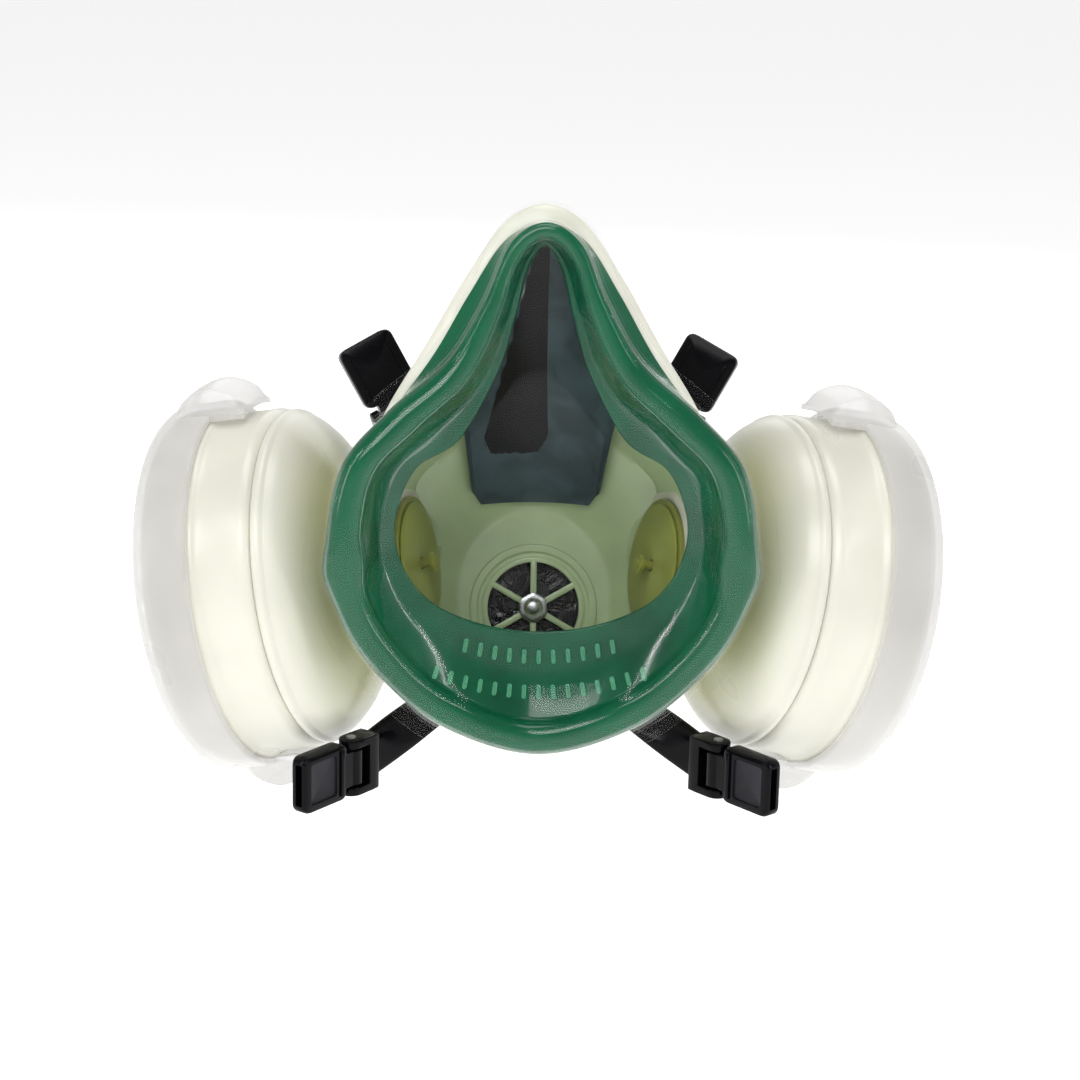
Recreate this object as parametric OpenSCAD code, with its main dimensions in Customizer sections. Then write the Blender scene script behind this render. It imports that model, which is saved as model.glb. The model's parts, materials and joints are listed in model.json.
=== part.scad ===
// Twin-filter half-mask respirator with a clear storage cover.
// Frame: +X to the wearer's right, +Y forward away from the face, +Z up. The origin is the centre of
// the face that the lip seals on. All sizes are in millimetres.

/* [Face seal] */
// Largest radius of the rolled lip
lip_roll = 4.3; // [3.5:0.1:4.6]
// Wall of the soft seal
seal_wall = 2.2; // [1.8:0.1:2.6]
// How far the cheek beads swell the lip
cheek_bead = 1.2; // [0:0.1:1.5]

/* [Body] */
// Wall of the rigid body
body_wall = 2.0; // [1.6:0.1:2.4]
// Thickness of the dark nose liner
liner_wall = 1.2; // [0.8:0.1:1.4]
// Downward tilt of the outlet valve
valve_tilt = 15; // [10:1:18]

/* [Filters] */
// Forward sweep of each filter's axis
filter_sweep = 15; // [10:1:18]
// Downward droop of each filter's axis
filter_droop = 11; // [8:1:13]
// Radius of the filter bowl at its rim
bowl_r = 42.4; // [40:0.2:43]
// Radius of the filter's outer wall where it meets the cap
shell_r = 44.6; // [43:0.2:45]
// Length of the filter's outer wall
shell_len = 22.5; // [20:0.5:24]

/* [Retainer cap] */
// Radius outside the cap's skirt
cap_r = 46.8; // [46:0.2:48]
// How far the thumb tabs stand out
tab_out = 6; // [4:0.5:7]
// Number of air slots round the cap
cap_slots = 24; // [16:2:32]

/* [Valves] */
// Radius of the outlet valve's opening
outlet_r = 11.8; // [10:0.2:12]
// Radius inside the inlet ports
port_r = 14.5; // [13:0.5:15]
// Lift of the outlet flap
outlet_lift = 1.5; // [1:0.1:1.6]
// Lift of the inlet flaps
inlet_lift = 1.5; // [1:0.1:1.6]

/* [Harness] */
// Width of each buckle
buckle_w = 14.6; // [13:0.2:16]
// Length of each buckle from its pin
buckle_len = 20; // [18:0.2:21]
// Radius of the buckle pins
pin_r = 1.2; // [1:0.1:1.4]
// Width of the passage for the strap
strap_w = 10.6; // [9:0.2:11]
// Height of the passage for the strap
strap_h = 2; // [1.6:0.1:2.2]

/* [Storage cover] */
// Thickness of the clear sheet
cover_wall = 0.7; // [0.5:0.1:1]
// Width of the flange beyond the lip
cover_flange = 3.2; // [2:0.2:4]

/* [Hidden] */
$fn = 96;

pin_gap = 0.06;         // running clearance of the buckle pins
stations = 4;           // spline steps between two outline points

// Colours
green = [0.05, 0.42, 0.26];
sage = [0.66, 0.72, 0.55];
cream = [0.90, 0.90, 0.84];
slate = [0.16, 0.20, 0.21];
black = [0.03, 0.03, 0.035];
olive = [0.72, 0.72, 0.42];
frosted = [0.86, 0.86, 0.90, 0.7];
clear = [0.9, 0.95, 0.95, 0.25];

// ---- Outlines: right half from the nose bridge to the chin, as [x, y, z] ----

// Outermost line of the rolled lip
lip_half = [
    [0, 18, 74], [8.5, 17, 69], [14.5, 13.5, 56], [23, 10, 42], [37, 5.5, 30], [48, 2, 17.5],
    [51.5, 0, 0], [49.8, 0, -16], [41.5, 1, -31.5], [24.5, 3.5, -47.5], [0, 5, -55.5]];
// Free edge of the in-turned flap, which bounds the face opening
flap_half = [
    [0, 25, 68], [4.3, 24, 62.5], [7.5, 21, 51], [11.5, 19, 38], [20.5, 16, 22], [31, 13, 15],
    [35.8, 12, 2.5], [34, 12, -9], [27, 13, -18.5], [14.5, 15, -24.8], [0, 16, -27]];
// Rings of the rigid body's outside, from its rear edge to its front face
body_rear = [
    [0, 24, 73], [9.5, 24, 69], [18, 21, 56.5], [26.5, 18, 42], [36.5, 14, 28.5], [44.5, 11, 15.5],
    [47.5, 9, 0], [45.5, 9, -15], [38, 10, -29], [22, 12.5, -43.5], [0, 14, -51]];
body_waist = [
    [0, 31, 74.5], [9.5, 31, 70], [19, 28.5, 57], [28, 25, 42], [36.5, 21, 28], [41.5, 20, 14],
    [41, 21, 0], [38.3, 22, -15], [34.5, 22, -30], [21, 23, -45], [0, 24, -52.5]];
body_shoulder = [
    [0, 52, 32], [7, 52, 29.5], [13.5, 52, 22.5], [20, 51.5, 14.5], [27, 51, 8], [31.5, 51, 2],
    [32, 51, -7], [29.8, 50.5, -18], [26.3, 49.5, -31], [17, 47.5, -44.5], [0, 46, -50.5]];
front_half = [
    [0, -3], [7, -4.5], [13, -8], [17.5, -12.5], [20.5, -18], [22, -24],
    [22, -30], [21, -36], [18, -42], [11, -47], [0, -49.5]];

// ---- Places ----
valve_centre = [0, 55, -31.6];
filter_centre = [57, 44, -20.5];
upper_pin_at = [34.7, 48, 21.7];
lower_pin_at = [46, 22.5, -63.6];
upper_turn = [15, -26, 20];    // lean forward, lean outward, turn towards the nose
lower_swing = 52;              // how far the lower buckles point to the rear

front_y = [for (p = front_half) valve_centre.y + (p[1] - valve_centre.z) * tan(valve_tilt)];
body_front = [for (i = [0:len(front_half) - 1]) [front_half[i][0], front_y[i], front_half[i][1]]];

// ---- Vector and spline helpers ----
function unit(v) = v / norm(v);
function blend(a, b, t) = a + (b - a) * t;
function full_loop(half) = concat(half,
    [for (i = [len(half) - 2:-1:1]) [-half[i].x, half[i].y, half[i].z]]);
function spline(a, b, c, d, t) = 0.5 * (2 * b + (c - a) * t + (2 * a - 5 * b + 4 * c - d) * t * t
    + (3 * b - a - 3 * c + d) * t * t * t);
function smooth_loop(loop, steps = stations) = let (n = len(loop))
    [for (i = [0:n - 1]) for (k = [0:steps - 1])
        spline(loop[(i + n - 1) % n], loop[i], loop[(i + 1) % n], loop[(i + 2) % n], k / steps)];
function smooth_half(half) = smooth_loop(full_loop(half));
// Rows between given rows, by the same spline, with the end rows repeated
function smooth_rows(rows, steps) = let (n = len(rows)) concat(
    [for (i = [0:n - 2]) for (k = [0:steps - 1]) let (
        a = rows[max(i - 1, 0)], b = rows[i], c = rows[i + 1], d = rows[min(i + 2, n - 1)])
        [for (j = [0:len(b) - 1]) spline(a[j], b[j], c[j], d[j], k / steps)]],
    [rows[n - 1]]);
// A grid of closed rings moved along its own surface normals
function ring_normal(rings, k, i) = let (n = len(rings[0]), m = len(rings),
    along = rings[k][(i + 1) % n] - rings[k][(i + n - 1) % n],
    across = rings[min(k + 1, m - 1)][i] - rings[max(k - 1, 0)][i]) unit(cross(along, across));
function grown(rings, by) = [for (k = [0:len(rings) - 1])
    [for (i = [0:len(rings[k]) - 1]) rings[k][i] + by * ring_normal(rings, k, i)]];
function reversed(list) = [for (i = [len(list) - 1:-1:0]) list[i]];

// Closed solid through rings of equal length, from one end point to the other
module ring_solid(first, rings, last) {
    n = len(rings[0]);
    m = len(rings);
    points = concat([first], [for (ring = rings) for (p = ring) p], [last]);
    end = len(points) - 1;
    faces = concat(
        [for (i = [0:n - 1]) [0, 1 + i, 1 + (i + 1) % n]],
        [for (k = [0:m - 2]) for (i = [0:n - 1]) let (
            a = 1 + k * n + i, b = 1 + k * n + (i + 1) % n) each [[a, a + n, b], [b, a + n, b + n]]],
        [for (i = [0:n - 1]) [end, 1 + (m - 1) * n + (i + 1) % n, 1 + (m - 1) * n + i]]);
    polyhedron(points, faces, convexity = 8);
}

// Closed solid swept round a loop: sections[i] is the closed section at station i
module loop_solid(sections) {
    n = len(sections);
    m = len(sections[0]);
    faces = [for (i = [0:n - 1]) for (j = [0:m - 1]) let (
        a = i * m + j, b = i * m + (j + 1) % m,
        c = ((i + 1) % n) * m + (j + 1) % m, d = ((i + 1) % n) * m + j) each [[a, d, b], [b, d, c]]];
    polyhedron([for (s = sections) for (p = s) p], faces, convexity = 8);
}

// Closed solid swept along an open path: sections run from one end to the other
module bar_solid(sections) {
    n = len(sections);
    m = len(sections[0]);
    faces = concat(
        [[for (j = [0:m - 1]) j]],
        [for (i = [0:n - 2]) for (j = [0:m - 1]) let (
            a = i * m + j, b = i * m + (j + 1) % m,
            c = (i + 1) * m + (j + 1) % m, d = (i + 1) * m + j) each [[a, d, b], [b, d, c]]],
        [[for (j = [m - 1:-1:0]) (n - 1) * m + j]]);
    polyhedron([for (s = sections) for (p = s) p], faces, convexity = 6);
}

// ---- Places for children ----
module on_side(side) {
    mirror([side == "left" ? 1 : 0, 0, 0]) children();
}
// +Z runs outward along a filter's axis, from the bowl's rim; -X points up
module on_filter(side) {
    on_side(side) translate(filter_centre) rotate([0, 90 + filter_droop, filter_sweep]) children();
}
// +Z runs forward out of the outlet valve, from the body's front face; +Y points down
module on_valve() {
    translate(valve_centre) rotate([-90 - valve_tilt, 0, 0]) children();
}
// The pin lies along X, the buckle runs up +Z, and its plain face looks to -Y
module on_upper_pin(side) {
    on_side(side) translate(upper_pin_at) rotate([0, 0, -upper_turn.z])
        rotate([0, -upper_turn.y, 0]) rotate([-upper_turn.x, 0, 0]) children();
}
module on_lower_pin(side) {
    on_side(side) translate(lower_pin_at) rotate([0, 0, -lower_swing]) rotate([0, 90, 0]) children();
}

// A revolved part from [radius, height] points
module turned(points) {
    rotate_extrude() polygon(points);
}
module disc(r, low, high) {
    translate([0, 0, low]) cylinder(r = r, h = high - low);
}
module ring(r_out, r_in, low, high) {
    difference() {
        disc(r_out, low, high);
        disc(r_in, low - 1, high + 1);
    }
}

// ---- Face seal ----
lip = smooth_half(lip_half);
flap = smooth_half(flap_half);
function inward(i) = let (d = flap[i] - lip[i]) unit([d.x, 0, d.z]);
function reach(i) = let (d = flap[i] - lip[i]) norm([d.x, 0, d.z]);
// The bead is a short swelling of the lip at each cheek
function bead(i) = cheek_bead * exp(-pow((lip[i].z + 8) / 6, 2)) * (abs(lip[i].x) > 40 ? 1 : 0);
function roll(i) = min(lip_roll, max(2.1, 0.3 * reach(i)));
function at_lip(i, n, y) = lip[i] + inward(i) * n + [0, y, 0];
// One section of the seal: from the body's rear edge, round the lip, in along the flap and back
function seal_section(i) = let (
    r = roll(i), w = min(seal_wall, r * 0.62), tip = flap[i],
    inner = at_lip(i, 2 * r, r), mid = blend(inner, tip, 0.5) + [0, 1.6, 0]) concat(
    [body_outer[0][i]],
    [for (a = [180:30:360]) at_lip(i, r + (r + bead(i)) * cos(a), r + r * sin(a))],
    [mid, tip, tip + [0, 1.2, 0], mid + [0, w, 0] - inward(i) * 0.4],
    [for (a = [360:-60:180]) at_lip(i, r + (r - w) * cos(a), r + w * 0.6 + (r - w) * sin(a))],
    [body_inner[0][i]]);
module face_seal() {
    color(green) loop_solid([for (i = [0:len(lip) - 1]) seal_section(i)]);
}

// ---- Rigid body ----
body_rows = [smooth_half(body_rear), smooth_half(body_waist), smooth_half(body_shoulder)];
body_outer = concat(smooth_rows(body_rows, 4), [smooth_half(body_front)]);
body_inner = [for (k = [0:len(body_outer) - 1]) [for (i = [0:len(lip) - 1])
    k == len(body_outer) - 1
        ? blend(body_outer[k][i], valve_centre, body_wall / 20) - [0, body_wall, 0]
        : body_outer[k][i] - body_wall * ring_normal(body_outer, k, i)]];
module mask_body() {
    color(sage) difference() {
        union() {
            ring_solid(valve_centre - [0, body_wall, 0], concat(reversed(body_inner), body_outer),
                valve_centre);
            for (side = ["right", "left"]) on_filter(side) disc(port_r + 5.5, -28, -20.2, $fn = 64);
        }
        for (side = ["right", "left"]) on_filter(side) disc(port_r + 2.56, -33, -12);
        on_valve() disc(outlet_r + 4.7, -10, 5);
    }
}

// ---- Nose liner ----
liner_reach = 11;
function liner_section(i) = let (n = len(lip), at = (i + n) % n, last = len(body_inner) - 1) concat(
    [for (k = [last:-1:1]) body_inner[k][at]],
    [for (k = [1:last]) body_inner[k][at] - liner_wall * ring_normal(body_outer, min(k, last - 1), at)]);
module nose_liner() {
    color(slate) bar_solid([for (i = [-liner_reach:liner_reach]) liner_section(i)]);
}

// ---- Storage cover ----
cover_gap = 0.8;        // clear of the lip all round
cover_floor = [0, 14, 4];
function cover_arc(i, grow, a) = let (r = roll(i), c = r + cover_gap + grow)
    at_lip(i, r + (c + bead(i)) * cos(a), r + c * sin(a));
function cover_inside(i, t, drop) = let (r = roll(i), tip = flap[i])
    blend(at_lip(i, 2 * r, r), tip, t) + inward(i) * 0.8 + [0, 6.4 * t * (1 - t) - 0.7 - drop, 0];
function cover_rim(i, out, y) = let (r = roll(i))
    at_lip(i, -cover_gap - bead(i) - cover_wall - out, r + y);
cover_top = concat(
    [for (t = [0.75, 0.45]) [for (i = [0:len(lip) - 1])
        blend(cover_inside(i, 1, cover_wall), cover_floor - [0, cover_wall, 0], t)]],
    [for (t = [1, 0.5]) [for (i = [0:len(lip) - 1]) cover_inside(i, t, cover_wall)]],
    [for (a = [330:-30:210]) [for (i = [0:len(lip) - 1]) cover_arc(i, cover_wall, a)]],
    [for (out = [0, cover_flange]) [for (i = [0:len(lip) - 1]) cover_rim(i, out, -cover_wall)]]);
cover_under = concat(
    [[for (i = [0:len(lip) - 1]) cover_rim(i, cover_flange, 0)]],
    [for (a = [180:30:330]) [for (i = [0:len(lip) - 1]) cover_arc(i, 0, a)]],
    [for (t = [0.5, 1]) [for (i = [0:len(lip) - 1]) cover_inside(i, t, 0)]],
    [for (t = [0.45, 0.75]) [for (i = [0:len(lip) - 1]) blend(cover_inside(i, 1, 0), cover_floor, t)]]);
module storage_cover() {
    color(clear) ring_solid(cover_floor - [0, cover_wall, 0], concat(cover_top, cover_under), cover_floor);
}

// ---- Outlet valve ----
module spokes(count, from, to, width, low, high) {
    for (k = [0:count - 1])
        rotate([0, 0, k * 360 / count]) translate([from, -width / 2, low])
            cube([to - from, width, high - low]);
}
module exhale_seat() {
    color(sage) on_valve() {
        ring(outlet_r + 4.64, outlet_r, -2.6, 0.8);
        ring(outlet_r + 1.5, outlet_r + 0.5, 0.7, 1.2);
        spokes(6, 2, outlet_r + 0.6, 1.6, -2.6, -0.8);
        translate([0, 0, -2.6]) linear_extrude(1.8)
            polygon([for (a = [30:60:330]) 4.4 * [cos(a), sin(a)]]);
        disc(1.2, -0.9, 4.9);
        disc(2.4, outlet_lift + 2.5, outlet_lift + 3.4);
    }
}
module exhale_flap() {
    color(black) on_valve() ring(outlet_r + 1.8, 1.55, 1.3, 2.1);
}
module outlet_cover() {
    color(cream) on_valve() difference() {
        union() {
            ring(18, 16.8, 0, 12.4);
            turned([[0, 12], [17.2, 12], [18, 12.8], [17, 13.8], [0, 13.8]]);
            spokes(2, 17.4, 19.2, 5, 4.6, 12.4);
        }
        for (k = [0:15])
            rotate([0, 0, (k + 0.5) * 22.5]) translate([14, -1.6, 3.4]) cube([6, 3.2, 6.6]);
    }
}

// ---- Harness yoke ----
// Rounded bar through points, wide across and thick along its facing direction
function bar_frame(path, i) = unit(path[min(i + 1, len(path) - 1)] - path[max(i - 1, 0)]);
function bar_section(p, along, facing, wide, thick) = let (
    s = unit(cross(facing, along)), m = unit(cross(along, s)))
    [for (q = [[-0.5, -0.2], [-0.4, -0.5], [0.4, -0.5], [0.5, -0.2], [0.5, 0.2], [0.4, 0.5],
        [-0.4, 0.5], [-0.5, 0.2]]) p + s * wide * q[0] + m * thick * q[1]];
module bar(path, facings, wide, thick) {
    p = smooth_rows([for (q = path) [q]], 3);
    f = smooth_rows([for (q = facings) [q]], 3);
    line = [for (q = p) q[0]];
    last = len(line) - 1;
    bar_solid([for (i = [0:last])
        bar_section(line[i], bar_frame(line, i), f[i][0], blend(wide[0], wide[1], i / last), thick)]);
}
// Two ears round a buckle's pin and the block that joins them
module fork() {
    ear_r = 3.1;
    ear_wall = 2.2;
    ear_at = 6.2;
    for (side = [-1, 1]) translate([side * ear_at, 0, 0]) rotate([0, 90, 0]) difference() {
        union() {
            cylinder(r = ear_r, h = ear_wall, center = true);
            translate([0, -ear_r, -ear_wall / 2]) cube([5.6, 2 * ear_r, ear_wall]);
        }
        cylinder(r = pin_r + 0.03, h = 2 * ear_wall, center = true);
    }
    translate([-ear_at - ear_wall / 2, -ear_r, -7.4])
        cube([2 * ear_at + ear_wall, 2 * ear_r, 3.6]);
}
upper_arm = [[12.4, 61, -16.8], [15.5, 62.2, -11], [19, 61, -4.5], [24.5, 57.5, 5],
    [28.5, 52.5, 12], [31.6, 47.6, 16.6]];
upper_facing = [[0, 1, -0.27], [0.15, 1, 0], [0.4, 1, 0.25], [0.6, 1, 0.4],
    [0.6, 0.9, 0.5], [0.2, 0.95, -0.2]];
lower_arm = [[11.5, 53.2, -46.6], [19, 48.5, -51.5], [30, 38.5, -56.8], [42.5, 27, -63]];
lower_facing = [[0, 1, -0.27], [0.4, 1, -0.5], [0.6, 0.8, -0.4], [0.79, 0.62, 0]];
module harness_yoke() {
    color(black) {
        on_valve() ring(22, 18.5, 0, 2.6);
        for (side = ["right", "left"]) {
            on_side(side) bar(upper_arm, upper_facing, [7, 9], 2.8);
            on_side(side) bar(lower_arm, lower_facing, [7, 12], 2.8);
            on_upper_pin(side) fork();
            on_lower_pin(side) fork();
        }
    }
}

// ---- Buckles ----
module pin() {
    rotate([0, 90, 0]) cylinder(r = pin_r, h = 15.4, center = true);
}
// A flat sleeve for the strap, open at its end and at its back, on a knuckle round the pin
module buckle() {
    front = -2.2;
    back = 2.4;
    corner = 2;
    difference() {
        union() {
            rotate([0, 90, 0]) cylinder(r = 2.9, h = 9.4, center = true);
            translate([-4.7, front, 0]) cube([9.4, 3.6, 5]);
            translate([0, back, 0]) rotate([90, 0, 0]) {
                linear_extrude(back - front) {
                    translate([-buckle_w / 2, 3.9]) square([buckle_w, buckle_len - 3.9 - corner]);
                    translate([corner - buckle_w / 2, 3.9])
                        square([buckle_w - 2 * corner, buckle_len - 3.9]);
                }
                for (side = [-1, 1]) translate([side * (buckle_w / 2 - corner), buckle_len - corner])
                    cylinder(r = corner, h = back - front);
            }
        }
        rotate([0, 90, 0]) cylinder(r = pin_r + pin_gap, h = 20, center = true);
        translate([-strap_w / 2, -strap_h / 2, 6]) cube([strap_w, strap_h, buckle_len]);
        translate([-strap_w / 2, 0, 6]) cube([strap_w, 5, 4.4]);
    }
}
// The upper buckles carry two thin ridges along their plain face
module upper_buckle(side) {
    color(black) on_upper_pin(side) {
        buckle();
        for (edge = [-1, 1]) translate([edge * (buckle_w / 2 - 2.2) - 0.25, -2.7, 5])
            cube([0.5, 0.8, buckle_len - 8]);
    }
}
module upper_pin(side) {
    color(slate) on_upper_pin(side) pin();
}
// The lower buckles have a shallow framed panel and a rib across their face
module lower_buckle(side) {
    color(black) on_lower_pin(side) {
        difference() {
            buckle();
            translate([2 - buckle_w / 2, -3, 8]) cube([buckle_w - 4, 1.4, buckle_len - 10.2]);
        }
        translate([1.2 - buckle_w / 2, -2.8, 5.4]) cube([buckle_w - 2.4, 0.9, 1.4]);
    }
}
module lower_pin(side) {
    color(slate) on_lower_pin(side) pin();
}

// ---- Inlet ports ----
sleeve_r = port_r + 2.5;
module port(side) {
    color(olive) on_filter(side) {
        ring(sleeve_r, port_r, -29, -14.4);
        spokes(4, 2, port_r + 0.6, 1.6, -29, -27.2);
        disc(3, -29, -27.2);
        disc(1.2, -34, -28.8);
        disc(2.4, -31.9 - inlet_lift, -31 - inlet_lift);
        // Bayonet lugs
        for (k = [0:2]) rotate([0, 0, k * 120 + 15]) rotate_extrude(angle = 30)
            translate([sleeve_r - 0.4, -16.9]) square([1.9, 1.9]);
    }
}
module inhale_flap(side) {
    color(olive) on_filter(side) ring(port_r + 1.1, 1.55, -29.9, -29.1);
}
module port_gasket(side) {
    color(slate) on_filter(side) ring(sleeve_r + 2.8, sleeve_r + 0.3, -20.2, -18.7);
}

// ---- Filters ----
module filter_base(side) {
    color(cream) on_filter(side) difference() {
        turned([[sleeve_r + 0.3, -18.3], [23, -18.3], [23, -15.8], [26.5, -14.4], [31.6, -12.2],
            [36.3, -9.2], [39.8, -5.6], [bowl_r - 0.5, -2.2], [bowl_r, -0.7], [bowl_r - 0.8, 0],
            [bowl_r - 2, 0], [bowl_r - 2, -2.2], [38.3, -2.6], [36, -6.6], [32, -9.4], [25.4, -12.4],
            [15.5, -12.4], [15.5, -13.9], [sleeve_r + 2.3, -13.9], [sleeve_r + 2.3, -17.3],
            [sleeve_r + 0.3, -17.3]]);
        // Entries for the bayonet lugs
        for (k = [0:2]) rotate([0, 0, k * 120 + 53]) rotate_extrude(angle = 34)
            translate([sleeve_r - 1, -19]) square([2.9, 2]);
    }
}
// Flat disc with rings of round holes
module screen(r, low, high) {
    difference() {
        disc(r, low, high);
        disc(2.2, low - 1, high + 1);
        for (row = [1:5])
            for (k = [0:row * 6 - 1])
                rotate([0, 0, k * 60 / row]) translate([row * 6.9, 0, low - 1])
                    cylinder(r = 2.2, h = high - low + 2, $fn = 24);
    }
}
module inner_screen(side) {
    color(slate) on_filter(side) screen(bowl_r - 2.2, -2.2, -1);
}
module outer_screen(side) {
    color(slate) on_filter(side) screen(bowl_r - 2.2, 18.8, 20);
}
module sorbent_bed(side) {
    color(black) on_filter(side) disc(bowl_r - 2.3, -1, 18.8);
}
module filter_shell(side) {
    color(cream) on_filter(side) difference() {
        turned([[0, 20], [bowl_r - 2, 20], [bowl_r - 2, 0], [bowl_r - 0.8, 0], [bowl_r + 0.3, 1],
            [shell_r - 1.1, 13], [shell_r, 14.2], [shell_r, shell_len], [shell_r - 1.6, shell_len],
            [shell_r - 1.6, 21.6], [0, 21.6]]);
        for (k = [0:23]) rotate([0, 0, k * 15]) translate([k % 2 == 0 ? 10 : 24, -1.3, 19])
            cube([k % 2 == 0 ? 29 : 15, 2.6, 4]);
    }
}
module particle_pad(side) {
    color(cream) on_filter(side) turned([[0, 22.5], [43.8, 22.5], [43.8, 25], [41.4, 27.4],
        [34, 28.8], [0, 28.8]]);
}
module retainer_cap(side) {
    inner = shell_r + 0.4;
    color(frosted) on_filter(side) {
        difference() {
            turned([[inner, 14.7], [cap_r - 0.6, 14.7], [cap_r, 15.4], [cap_r, 24.2], [cap_r - 0.5, 26.6],
                [cap_r - 2.2, 28.8], [cap_r - 5.3, 30.4], [35.2, 31.4], [0, 31.4], [0, 29.6], [34.8, 29.6],
                [cap_r - 6.1, 28.7], [cap_r - 3.5, 27.4], [inner - 0.3, 25.6], [inner, 24]]);
            for (k = [0:cap_slots - 1]) rotate([0, 0, (k + 0.5) * 360 / cap_slots])
                translate([16, -1.4, 27]) cube([21, 2.8, 8]);
        }
        for (turn = [0, 180]) rotate([0, 0, turn - 13]) rotate_extrude(angle = 26)
            polygon([[inner, 5.6], [cap_r - 0.4, 5.6], [cap_r + tab_out * 0.42, 7.4],
                [cap_r + tab_out * 0.76, 10.4], [cap_r + tab_out * 0.95, 13.6],
                [cap_r + tab_out * 0.95, 16.4], [cap_r + tab_out * 0.76, 19.6],
                [cap_r + tab_out * 0.42, 22.6], [cap_r - 0.6, 24.4], [inner + 0.4, 24.4],
                [inner + 0.4, 15], [inner, 15]]);
    }
}

face_seal();
mask_body();
nose_liner();
storage_cover();
exhale_seat();
exhale_flap();
outlet_cover();
harness_yoke();
port("right");  // right_port
inhale_flap("right");  // right_inhale_flap
port_gasket("right");  // right_port_gasket
filter_base("right");  // right_filter_base
inner_screen("right");  // right_inner_screen
sorbent_bed("right");  // right_sorbent_bed
outer_screen("right");  // right_outer_screen
particle_pad("right");  // right_particle_pad
filter_shell("right");  // right_filter_shell
retainer_cap("right");  // right_retainer_cap
upper_buckle("right");  // right_upper_buckle
upper_pin("right");  // right_upper_pin
lower_buckle("right");  // right_lower_buckle
lower_pin("right");  // right_lower_pin
port("left");  // left_port
inhale_flap("left");  // left_inhale_flap
port_gasket("left");  // left_port_gasket
filter_base("left");  // left_filter_base
inner_screen("left");  // left_inner_screen
sorbent_bed("left");  // left_sorbent_bed
outer_screen("left");  // left_outer_screen
particle_pad("left");  // left_particle_pad
filter_shell("left");  // left_filter_shell
retainer_cap("left");  // left_retainer_cap
upper_buckle("left");  // left_upper_buckle
upper_pin("left");  // left_upper_pin
lower_buckle("left");  // left_lower_buckle
lower_pin("left");  // left_lower_pin
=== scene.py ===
import json
import math

import bpy
import numpy as np
from bpy.props import FloatProperty, FloatVectorProperty, IntProperty, PointerProperty
from mathutils import Matrix, Vector


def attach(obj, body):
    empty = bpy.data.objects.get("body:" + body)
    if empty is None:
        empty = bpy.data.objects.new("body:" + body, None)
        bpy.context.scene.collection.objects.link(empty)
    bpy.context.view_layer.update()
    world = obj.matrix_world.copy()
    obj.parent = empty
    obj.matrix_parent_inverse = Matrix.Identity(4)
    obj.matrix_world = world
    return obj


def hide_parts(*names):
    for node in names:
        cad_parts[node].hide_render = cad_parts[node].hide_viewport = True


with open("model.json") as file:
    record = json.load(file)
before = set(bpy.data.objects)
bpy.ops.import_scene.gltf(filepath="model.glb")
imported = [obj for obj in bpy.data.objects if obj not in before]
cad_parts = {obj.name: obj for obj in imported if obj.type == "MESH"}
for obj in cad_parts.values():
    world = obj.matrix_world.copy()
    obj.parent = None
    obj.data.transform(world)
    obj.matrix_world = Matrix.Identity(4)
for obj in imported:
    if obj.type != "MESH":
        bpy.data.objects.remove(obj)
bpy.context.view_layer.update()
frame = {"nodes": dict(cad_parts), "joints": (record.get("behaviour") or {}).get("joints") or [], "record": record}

bl_info = {
    "name": "Half-mask respirator",
    "version": (1, 0, 0),
    "blender": (4, 5, 0),
    "location": "3D View > Sidebar > Respirator",
    "description": "Builds the visible pieces of a half-mask respirator round its packed frame",
    "category": "Add Mesh",
}

MM = 0.001
SIDES = ("right", "left")
LEVELS = ("upper", "lower")


# ---------------------------------------------------------------- sizes and colours

def length(name, description, default):
    return FloatProperty(name=name, description=description, default=default, min=0, unit="LENGTH")


def colour(name, description, default):
    return FloatVectorProperty(name=name, description=description, default=default,
                               subtype="COLOR", size=3, min=0, max=1)


class RespiratorSizes(bpy.types.PropertyGroup):
    """Sizes that a user would change"""
    lip_roll: length("Lip roll", "Largest radius of the rolled lip", 0.0043)
    seal_wall: length("Seal wall", "Wall of the soft seal", 0.0022)
    cheek_bead: length("Cheek bead", "How far the cheek beads swell the lip", 0.0012)
    body_wall: length("Body wall", "Wall of the rigid body", 0.002)
    liner_wall: length("Liner wall", "Thickness of the nose liner", 0.0012)
    cover_wall: length("Cover wall", "Thickness of the clear sheet", 0.0007)
    rib_pitch: length("Rib pitch", "Spacing of the small ribs on the storage cover", 0.0036)
    rib_height: length("Rib height", "How far the small ribs stand up", 0.0005)
    pleat_pitch: length("Pleat pitch", "Spacing of the particle pad's pleats", 0.0036)
    cap_slots: IntProperty(name="Cap slots", description="Air slots round each retainer cap",
                           default=24, min=8, max=48)
    cover_slots: IntProperty(name="Outlet slots", description="Openings round the outlet cover",
                             default=16, min=6, max=24)


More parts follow.
